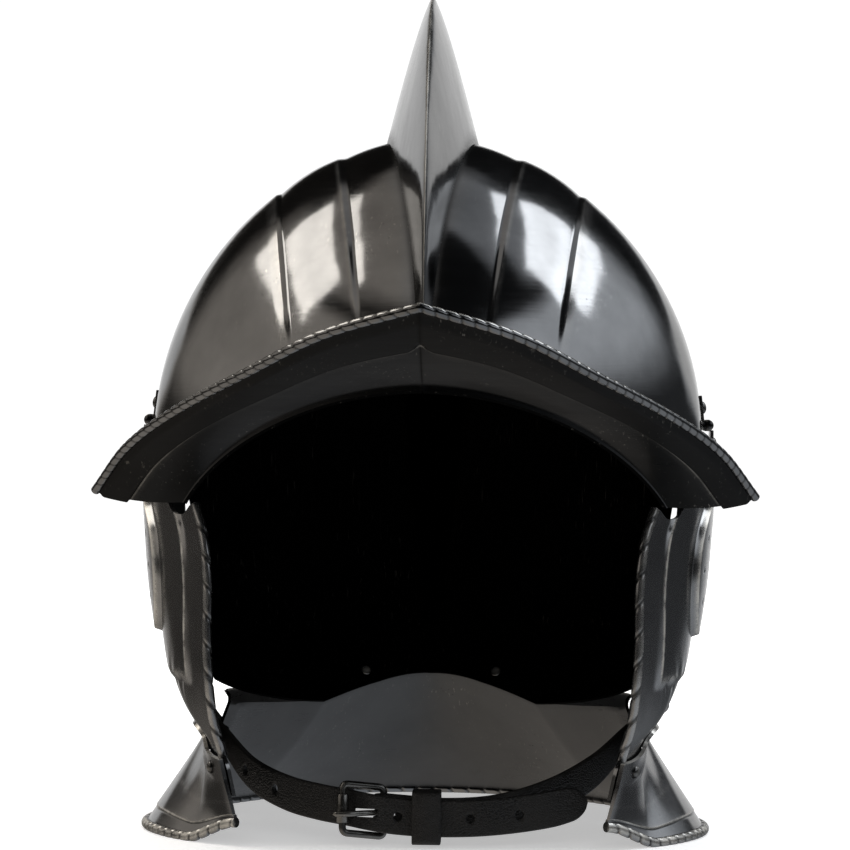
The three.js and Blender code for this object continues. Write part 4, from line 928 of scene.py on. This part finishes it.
def build_buckle():
    """Bent wire frame, the sleeve that rolls on its far bar, and the prong with its eye."""
    half = np.array((0, 0, BUCKLE_TALL / 2 - WIRE_RADIUS))
    corners = [HEEL - half, HEEL + half, ROLLER + half, ROLLER - half]
    plane = np.cross(2 * half, ROLLER - HEEL)
    wire = Body().tube(rod(rounded_loop(corners, 2.2), WIRE_RADIUS, 16, True, plane), .3, loop=True)
    inner, length = WIRE_RADIUS + HINGE_GAP, ROLLER_LENGTH / 2
    profile = [(inner, -length), (ROLLER_RADIUS - .3, -length), (ROLLER_RADIUS, .3 - length),
               (ROLLER_RADIUS, length - .3), (ROLLER_RADIUS - .3, length), (inner, length)]
    sleeve = Body().tube(lathe(ROLLER, (0, 0, 1), profile), .35, loop=True)
    ring_radius = WIRE_RADIUS + HINGE_GAP + TONGUE_RADIUS
    turn = np.linspace(0, 2 * np.pi, 28, endpoint=False)[:, None]
    eye = HEEL + ring_radius * (np.cos(turn) * (1, 0, 0) + np.sin(turn) * (0, 1, 0))
    front = ROLLER[1] - ROLLER_RADIUS - TONGUE_RADIUS - HINGE_GAP
    points = np.array([(HEEL[0] - 1.4, HEEL[1] - ring_radius + .3, HEEL[2]),
                       (TONGUE_SLOT[0] - .6, ROLLER[1] + .2, HEEL[2]),
                       (ROLLER[0] + 2.6, front, HEEL[2]), (ROLLER[0] - 3.6, front, HEEL[2])])
    prong = centripetal(points)[0]
    past = (np.linspace(0, 1, len(prong)) - .93).clip(0)
    size = TONGUE_RADIUS * np.sqrt(np.clip(1 - past / .072, .02, 1))
    tongue = Body().tube(rod(eye, TONGUE_RADIUS, 14, True), .3, loop=True).tube(rod(prong, size, 14), .4)
    return wire.make("buckle_wire"), sleeve.make("buckle_sleeve", sharp=60), tongue.make("buckle_prong")


def build_keeper():
    """Leather loop round both straps: a flat section led round a rounded rectangle."""
    wall, half = KEEPER["wall"], KEEPER["width"] / 2
    mid_front, mid_back = KEEPER["front"] - wall / 2, KEEPER["back"] + wall / 2
    low, high = KEEPER["low"] - wall / 2, KEEPER["high"] + wall / 2
    corners = [(KEEPER["x"], mid_front, low), (KEEPER["x"], mid_back, low),
               (KEEPER["x"], mid_back, high), (KEEPER["x"], mid_front, high)]
    path = rounded_loop(corners, 2.0)
    ahead = unit(np.roll(path, -1, 0) - np.roll(path, 1, 0))
    out = np.cross(ahead, (1, 0, 0))
    edge = [(-1, -.5), (-1, .5), (-.94, 1), (.94, 1), (1, .5), (1, -.5), (.94, -1), (-.94, -1)]
    rings = np.stack([path + a * half * np.array((1, 0, 0)) + b * wall / 2 * out for a, b in edge],
                     axis=1)
    return Body().tube(rings, loop=True).make("keeper_loop", sharp=60)


# Shader nodes
def new_group(name, inputs, outputs):
    """Empty node group with named sockets; a socket is (name, kind, default)."""
    tree = bpy.data.node_groups.new(name, "ShaderNodeTree")
    for socket, kind, default in inputs:
        made = tree.interface.new_socket(socket, in_out="INPUT", socket_type="NodeSocket" + kind)
        if default is not None:
            made.default_value = default
    for socket, kind in outputs:
        tree.interface.new_socket(socket, in_out="OUTPUT", socket_type="NodeSocket" + kind)
    return tree, tree.nodes.new("NodeGroupInput"), tree.nodes.new("NodeGroupOutput")


def node(tree, kind, links=None, **settings):
    """Adds a shader node; links maps its inputs to sockets or constants."""
    made = tree.nodes.new("ShaderNode" + kind)
    for key, value in settings.items():
        setattr(made, key, value)
    for key, value in (links or {}).items():
        if isinstance(value, bpy.types.NodeSocket):
            tree.links.new(value, made.inputs[key])
        else:
            made.inputs[key].default_value = value
    return made


def maths(tree, operation, a, b=0.0, clamp=False):
    return node(tree, "Math", {0: a, 1: b}, operation=operation, use_clamp=clamp).outputs[0]


def ramp(tree, value, low, high, to_low=0.0, to_high=1.0):
    return node(tree, "MapRange", {"Value": value, "From Min": low, "From Max": high,
                                   "To Min": to_low, "To Max": to_high}).outputs[0]


def noise(tree, where, scale, detail=3.0, rough=0.5):
    return node(tree, "TexNoise", {"Vector": where, "Scale": scale, "Detail": detail,
                                   "Roughness": rough}).outputs["Fac"]


def mixed(tree, factor, a, b):
    """Mix of two colours."""
    made = node(tree, "Mix", data_type="RGBA")
    for socket, value in ((made.inputs[0], factor), (made.inputs[6], a), (made.inputs[7], b)):
        if isinstance(value, bpy.types.NodeSocket):
            tree.links.new(value, socket)
        else:
            socket.default_value = value
    return made.outputs[2]


def stretch(tree, where, scale):
    return node(tree, "Mapping", {"Vector": where, "Scale": scale}).outputs[0]


# Steel and leather
def steel_surface_group():
    """Masks of hand-polished steel: long polishing lines, fine scratches, clouds and small pits."""
    tree, given, result = new_group(
        "hand polished steel", [("Position", "Vector", None)],
        [("Lines", "Float"), ("Scratches", "Float"), ("Clouds", "Float"), ("Pits", "Float"),
         ("Height", "Float")])
    where = given.outputs["Position"]
    lines = noise(tree, stretch(tree, where, (40, 90, 1400)), 1.0, 4, .6)
    fine = noise(tree, stretch(tree, where, (900, 500, 60)), 1.0, 3, .6)
    patch = noise(tree, where, 26, 3, .6)
    scratch = maths(tree, "MULTIPLY", ramp(tree, fine, .63, .8), ramp(tree, patch, .45, .7), True)
    clouds = noise(tree, where, 11, 5, .62)
    spots = node(tree, "TexVoronoi", {"Vector": where, "Scale": 330}).outputs["Distance"]
    pits = maths(tree, "MULTIPLY", ramp(tree, spots, .16, .07), ramp(tree, patch, .58, .66), True)
    dents = noise(tree, where, 34, 2, .5)
    height = maths(tree, "ADD", maths(tree, "MULTIPLY", dents, 1.0), maths(tree, "MULTIPLY", lines, .02))
    for name, value in (("Lines", lines), ("Scratches", scratch), ("Clouds", clouds), ("Pits", pits),
                        ("Height", height)):
        tree.links.new(value, result.inputs[name])
    return tree


def worn_edge_group():
    """How far the black finish is rubbed off: the marked edges, broken up by noise."""
    tree, given, result = new_group("worn edge", [("Position", "Vector", None), ("Amount", "Float", 1.0)],
                                    [("Mask", "Float")])
    mark = node(tree, "Attribute", attribute_name="wear").outputs["Fac"]
    broken = ramp(tree, noise(tree, given.outputs["Position"], 120, 4, .65), .32, .62, .35, 1.1)
    mask = maths(tree, "MULTIPLY", maths(tree, "MULTIPLY", mark, broken), given.outputs["Amount"], True)
    tree.links.new(mask, result.inputs["Mask"])
    return tree


STEEL_SURFACE, WORN_EDGE = steel_surface_group(), worn_edge_group()
EDGE_ON = 0.62


def steel_material(name, base, rough, dent=0.00035, wear=1.0, metal=1.0):
    """Blackened steel with the wear of its marked edges and painted shade in its marked hollows; EDGE_ON
    is its reflection at a low angle.
    """
    material = bpy.data.materials.new(name)
    material.use_nodes = True
    tree = material.node_tree
    shader = tree.nodes["Principled BSDF"]
    where = node(tree, "TexCoord").outputs["Object"]
    surface = node(tree, "Group", node_tree=STEEL_SURFACE)
    tree.links.new(where, surface.inputs["Position"])
    edge = node(tree, "Group", node_tree=WORN_EDGE)
    edge.inputs["Amount"].default_value = wear
    tree.links.new(where, edge.inputs["Position"])
    dark, light = ((base * part,) * 3 + (1,) for part in (.72, 1.2))
    bare = (.78, .74, .66, 1)
    clouded = mixed(tree, ramp(tree, surface.outputs["Clouds"], .35, .65), dark, light)
    rubbed = mixed(tree, maths(tree, "MULTIPLY", surface.outputs["Scratches"], .5), clouded, bare)
    pitted = mixed(tree, surface.outputs["Pits"], rubbed, (base * .2,) * 3 + (1,))
    # Painted shade: the hollow mark darkens grooves, creases and the sunk border towards black
    sunk = node(tree, "Attribute", attribute_name="hollow").outputs["Fac"]
    shaded_hollows = mixed(tree, maths(tree, "MULTIPLY", sunk, .75), pitted, (.008, .007, .006, 1))
    tree.links.new(mixed(tree, edge.outputs["Mask"], shaded_hollows, bare), shader.inputs["Base Color"])
    shader.inputs["Specular Tint"].default_value = (EDGE_ON, EDGE_ON, EDGE_ON, 1)
    rubbed_off = edge.outputs["Mask"]
    tree.links.new(maths(tree, "SUBTRACT", metal, maths(tree, "MULTIPLY", rubbed_off, .45), True),
                   shader.inputs["Metallic"])
    roughness = maths(tree, "ADD", ramp(tree, surface.outputs["Clouds"], .3, .7, rough * .8, rough * 1.25),
                      ramp(tree, surface.outputs["Lines"], .35, .75, -.01, .04))
    roughness = maths(tree, "ADD", roughness, maths(tree, "MULTIPLY", surface.outputs["Scratches"], .12))
    roughness = maths(tree, "ADD", roughness, maths(tree, "MULTIPLY", rubbed_off, .3))
    roughness = maths(tree, "ADD", roughness, maths(tree, "MULTIPLY", sunk, .25), True)
    tree.links.new(roughness, shader.inputs["Roughness"])
    bump = node(tree, "Bump", {"Height": surface.outputs["Height"], "Distance": dent, "Strength": 1.0})
    tree.links.new(bump.outputs[0], shader.inputs["Normal"])
    return material


def leather_material(name):
    """Black leather with a fine grain."""
    material = bpy.data.materials.new(name)
    material.use_nodes = True
    tree = material.node_tree
    shader = tree.nodes["Principled BSDF"]
    where = node(tree, "TexCoord").outputs["Object"]
    cells = node(tree, "TexVoronoi", {"Vector": where, "Scale": 900}, feature="DISTANCE_TO_EDGE")
    grain = ramp(tree, cells.outputs["Distance"], 0, .22)
    patch = noise(tree, where, 60, 4, .6)
    colour = mixed(tree, ramp(tree, patch, .3, .7), (.004, .004, .004, 1), (.013, .012, .011, 1))
    tree.links.new(colour, shader.inputs["Base Color"])
    tree.links.new(ramp(tree, patch, .3, .7, .38, .6), shader.inputs["Roughness"])
    height = maths(tree, "ADD", grain, maths(tree, "MULTIPLY", patch, .8))
    bump = node(tree, "Bump", {"Height": height, "Distance": .00022, "Strength": .8})
    tree.links.new(bump.outputs[0], shader.inputs["Normal"])
    return material


BRIGHT_STEEL = steel_material("blackened steel", .25, .11, dent=.0004)
# Painted light: the cheekpieces' and lames' steel is a little lighter than the skull's, and a little
# rougher
LIGHTENED_SIDE_STEEL = steel_material("cheek and lame steel, lightened as painted light", .28, .15, dent=.0004, metal=.975)
# Painted shade: the peak's underside and edge are the same steel as its top, made far darker
PEAK_UNDERSIDE_SHADED_STEEL = steel_material("steel under the peak, darkened as painted shade", .018, .3, dent=.0005, metal=.88)
# Painted shade: the neck guard's inside is the same plate as its outside, made darker
GUARD_INSIDE_SHADED_STEEL = steel_material("steel inside the neck guard, darkened as painted shade", .09, .28, dent=.0005, metal=.6)
# Painted shade: inner faces, and the skull's edge faces, are near black
BLACK_SHADED_INSIDE = steel_material("inside faces, black as painted shade", .004, .7, dent=.0002, wear=0)
SMALL_STEEL = steel_material("small steel", .09, .2, dent=.0001, wear=.5)
LEATHER = leather_material("black strap leather")


def finish_piece(piece, material, slot, *nodes, inside=None):
    """Gives a piece its materials, hangs it on the root body and hides the frame's parts that it stands
    for.
    """
    used = {polygon.material_index for polygon in piece.data.polygons}
    piece.data.materials[0] = material
    if 1 in used:
        # The second material paints the inner faces dark as shade
        piece.data.materials[1] = inside or BLACK_SHADED_INSIDE
    while len(piece.data.materials) > max(used) + 1:
        piece.data.materials.pop()
    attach(piece, "root")
    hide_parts(*nodes)


def finish_side(side, word):
    """Cheekpiece, lame, hinge and their rivets on one side."""
    flip = np.array((side, 1, 1))

    def fasten(name, seat, stack, fastened):
        at, direction = seat
        finish_piece(rivet(name, at * flip, direction * flip, stack), SMALL_STEEL, "steel", fastened)

    finish_piece(build_cheek(f"cheek_{word}", side), LIGHTENED_SIDE_STEEL, "steel", f"cheekpiece_{word}")
    finish_piece(build_lame(f"lame_{word}", side), LIGHTENED_SIDE_STEEL, "steel", f"lower_lame_{word}")
    for up, level in ((True, "upper"), (False, "lower")):
        leaf = hinge_leaf(f"leaf_{level}_{word}", up, side)
        finish_piece(leaf, SMALL_STEEL, "steel", f"hinge_{level}_leaf_{word}")
        fasten(f"leaf_rivet_{level}_{word}", leaf_seat(up), LEAF_THICK + STEEL + LEAF_CLEAR,
               f"hinge_{level}_rivet_{word}")
    finish_piece(hinge_pin(f"pin_{word}", side), SMALL_STEEL, "steel", f"hinge_pin_{word}")
    for end, (along, z) in LAME_RIVETS.items():
        fasten(f"lame_rivet_{end}_head_{word}", cheek_seat(along, z, LAME_LIFT), 2 * STEEL + LAME_GAP,
               f"lame_rivet_{end}_{word}")
    fasten(f"strap_rivet_head_{word}", cheek_seat(ANCHOR_ALONG, ANCHOR_Z, -BORDER_SINK),
           STEEL + ANCHOR_CLEAR + STRAP_THICK / 2, f"strap_rivet_{word}")


# The pieces, in their places
SIDES = ((1, "right"), (-1, "left"))
finish_piece(build_skull(), BRIGHT_STEEL, "steel", "skull")
finish_piece(build_peak(), BRIGHT_STEEL, "steel", "skull", inside=PEAK_UNDERSIDE_SHADED_STEEL)
finish_piece(build_guard(), BRIGHT_STEEL, "steel", "neck_guard", inside=GUARD_INSIDE_SHADED_STEEL)
for side, word in SIDES:
    finish_side(side, word)
for side, word in SIDES:
    head = rivet(f"guard_rivet_{word}", *guard_seat(side), 2 * STEEL + 2 * BAND_GAP)
    finish_piece(head, SMALL_STEEL, "steel", f"neck_guard_rivet_{word}")

finish_piece(build_long_strap(), LEATHER, "leather", "strap_long")
finish_piece(build_short_strap(), LEATHER, "leather", "strap_short")
finish_piece(build_keeper(), LEATHER, "leather", "strap_keeper")
wire, sleeve, prong = build_buckle()
finish_piece(wire, SMALL_STEEL, "steel", "buckle_frame")
finish_piece(sleeve, SMALL_STEEL, "steel", "buckle_roller")
finish_piece(prong, SMALL_STEEL, "steel", "buckle_tongue")


# Stage
def plain_material(name, colour, rough):
    material = bpy.data.materials.new(name)
    material.use_nodes = True
    shader = material.node_tree.nodes["Principled BSDF"]
    where = node(material.node_tree, "TexCoord").outputs["Object"]
    shade = ramp(material.node_tree, noise(material.node_tree, where, 3), .3, .7, rough - .03, rough + .03)
    material.node_tree.links.new(shade, shader.inputs["Roughness"])
    shader.inputs["Base Color"].default_value = (*colour, 1)
    return material


def stage_card(name, corners, material):
    """Flat card that belongs to the stage."""
    mesh = bpy.data.meshes.new(name)
    mesh.from_pydata(corners, [], [range(len(corners))])
    card = bpy.data.objects.new(name, mesh)
    bpy.context.scene.collection.objects.link(card)
    mesh.materials.append(material)
    return card


def paper_material():
    """Pale paper with a painted glow, seen only by the camera, that grows where it runs off into the
    distance.
    """
    material = plain_material("pale paper", (.8, .8, .8), .8)
    tree = material.node_tree
    shader = tree.nodes["Principled BSDF"]
    where = node(tree, "TexCoord").outputs["Object"]
    away = node(tree, "VectorMath", {0: where}, operation="LENGTH").outputs["Value"]
    # Painted light: the paper glows for the camera, the more the farther it lies
    glow = maths(tree, "MULTIPLY", ramp(tree, away, .25, 1.6, .45, 1.0),
                 node(tree, "LightPath").outputs["Is Camera Ray"])
    shader.inputs["Emission Color"].default_value = (1, 1, 1, 1)
    tree.links.new(glow, shader.inputs["Emission Strength"])
    return material


# In reflections the world's pale lower part stands for the paper
FLOOR_HALF = 5
FLOOR_CORNERS = [(x * FLOOR_HALF, y * FLOOR_HALF, 0) for x, y in ((-1, -1), (1, -1), (1, 1), (-1, 1))]
ground = stage_card("floor", FLOOR_CORNERS, paper_material())
ground.visible_glossy = False


def softbox(name, at, aim, size, power, colour=(1, 1, 1)):
    light = bpy.data.lights.new(name, "AREA")
    light.shape, light.size, light.size_y = "RECTANGLE", *size
    light.energy, light.color = power, colour
    box = bpy.data.objects.new(name, light)
    box.location = at
    box.rotation_euler = (Vector(aim) - Vector(at)).to_track_quat("-Z", "Y").to_euler()
    bpy.context.scene.collection.objects.link(box)
    return box


def soft_part(tree, value, low, high):
    """0 below low, 1 above high, with a soft change between."""
    return node(tree, "MapRange", {"Value": value, "From Min": low, "From Max": high},
                interpolation_type="SMOOTHSTEP").outputs[0]


def times(tree, first, *others):
    for other in others:
        first = maths(tree, "MULTIPLY", first, other)
    return first


def studio_world():
    """White wall behind, dark room in front, a dim ceiling and pale glows at both sides.

    x, y and z are the parts of a direction; sideways and behind are those of its level part.
    """
    world = bpy.data.worlds.new("studio")
    world.use_nodes = True
    tree = world.node_tree
    toward = node(tree, "TexCoord").outputs["Generated"]
    x, y, z = node(tree, "SeparateXYZ", {0: toward}).outputs[:3]
    level = maths(tree, "SQRT", maths(tree, "SUBTRACT", 1.0, times(tree, z, z)))
    level = maths(tree, "MAXIMUM", level, .001)
    behind = maths(tree, "DIVIDE", y, level)
    sideways = maths(tree, "DIVIDE", x, level)
    low = soft_part(tree, z, .14, .02)
    behind_low = maths(tree, "SUBTRACT", behind, times(tree, low, .13))
    wall = times(tree, soft_part(tree, behind_low, .72, .86), soft_part(tree, z, .25, .2),
                 soft_part(tree, z, -.16, -.05))
    right = times(tree, soft_part(tree, z, .18, .42), soft_part(tree, z, .72, .62),
                  soft_part(tree, sideways, .5, .84))
    left = times(tree, soft_part(tree, z, .1, .22), soft_part(tree, z, .72, .62),
                 soft_part(tree, sideways, -.5, -.8))
    ceiling = times(tree, soft_part(tree, z, .72, .84),
                    maths(tree, "MAXIMUM", soft_part(tree, behind, -.3, 0), soft_part(tree, x, .05, -.05)))
    low_sides = times(tree, soft_part(tree, z, .4, .1), soft_part(tree, behind, -.85, -.4))
    table = soft_part(tree, z, -.12, -.42)
    light = wall
    for part, strength in ((right, .95), (left, .45), (ceiling, .42), (low_sides, .06), (table, .45)):
        light = maths(tree, "ADD", light, times(tree, part, strength))
    light = maths(tree, "ADD", light, .012)
    light = maths(tree, "MAXIMUM", light, node(tree, "LightPath").outputs["Is Camera Ray"])
    shade = tree.nodes["Background"]
    tree.links.new(light, shade.inputs["Strength"])
    tint = mixed(tree, ramp(tree, x, -.25, .25), (1, .92, .83, 1), (.88, .93, 1, 1))
    white = mixed(tree, maths(tree, "MAXIMUM", wall, node(tree, "LightPath").outputs["Is Camera Ray"]),
                  tint, (1, 1, 1, 1))
    tree.links.new(white, shade.inputs["Color"])
    return world


bpy.context.scene.world = studio_world()
bpy.context.scene.view_settings.view_transform = "Standard"
MIDDLE = (0, 0, .16)


def studio_light(name, azimuth, elevation, size, power, colour=(1, 1, 1), away=2.2):
    """Softbox round the object; azimuth 0 is behind it and 90 on the viewer's right."""
    a, e = math.radians(azimuth), math.radians(elevation)
    at = Vector((math.sin(a) * math.cos(e), math.cos(a) * math.cos(e), math.sin(e))) * away
    return softbox(name, at + Vector(MIDDLE), MIDDLE, size, power, colour)


studio_light("left softbox", -77, 49, (1.73, .86), 15, (1, .95, .88))
studio_light("right softbox", 65, 49, (1.39, .86), 13, (.91, .95, 1))
for lamp in (studio_light("overhead", 0, 90, (2.4, 2.4), 45),
             studio_light("front fill", 180, 12, (1.6, 1.0), 16)):
    lamp.visible_glossy = False

# Camera
CAMERA_DISTANCE, CAMERA_HEIGHT, CAMERA_SIDE, CAMERA_LENS = 1.5, .161, -.0016, 159.5
CAMERA_YAW, CAMERA_ROLL = 1.3, .6
camera = bpy.data.objects.new("camera", bpy.data.cameras.new("camera"))
camera.data.lens, camera.data.sensor_width = CAMERA_LENS, 36
camera.data.clip_end = 50
turn = Matrix.Rotation(math.radians(CAMERA_YAW), 4, "Z")
back = Matrix.Translation((0, FRAME_SHIFT * MM, 0))
away = Matrix.Translation((CAMERA_SIDE, -CAMERA_DISTANCE, CAMERA_HEIGHT))
level = Matrix.Rotation(math.pi / 2, 4, "X")
roll = Matrix.Rotation(math.radians(CAMERA_ROLL), 4, "Z")
camera.matrix_world = back @ turn @ away @ level @ roll
bpy.context.scene.collection.objects.link(camera)
bpy.context.scene.camera = camera
bpy.data.materials.remove(OUTER)
bpy.data.materials.remove(INNER)
bpy.context.view_layer.update()
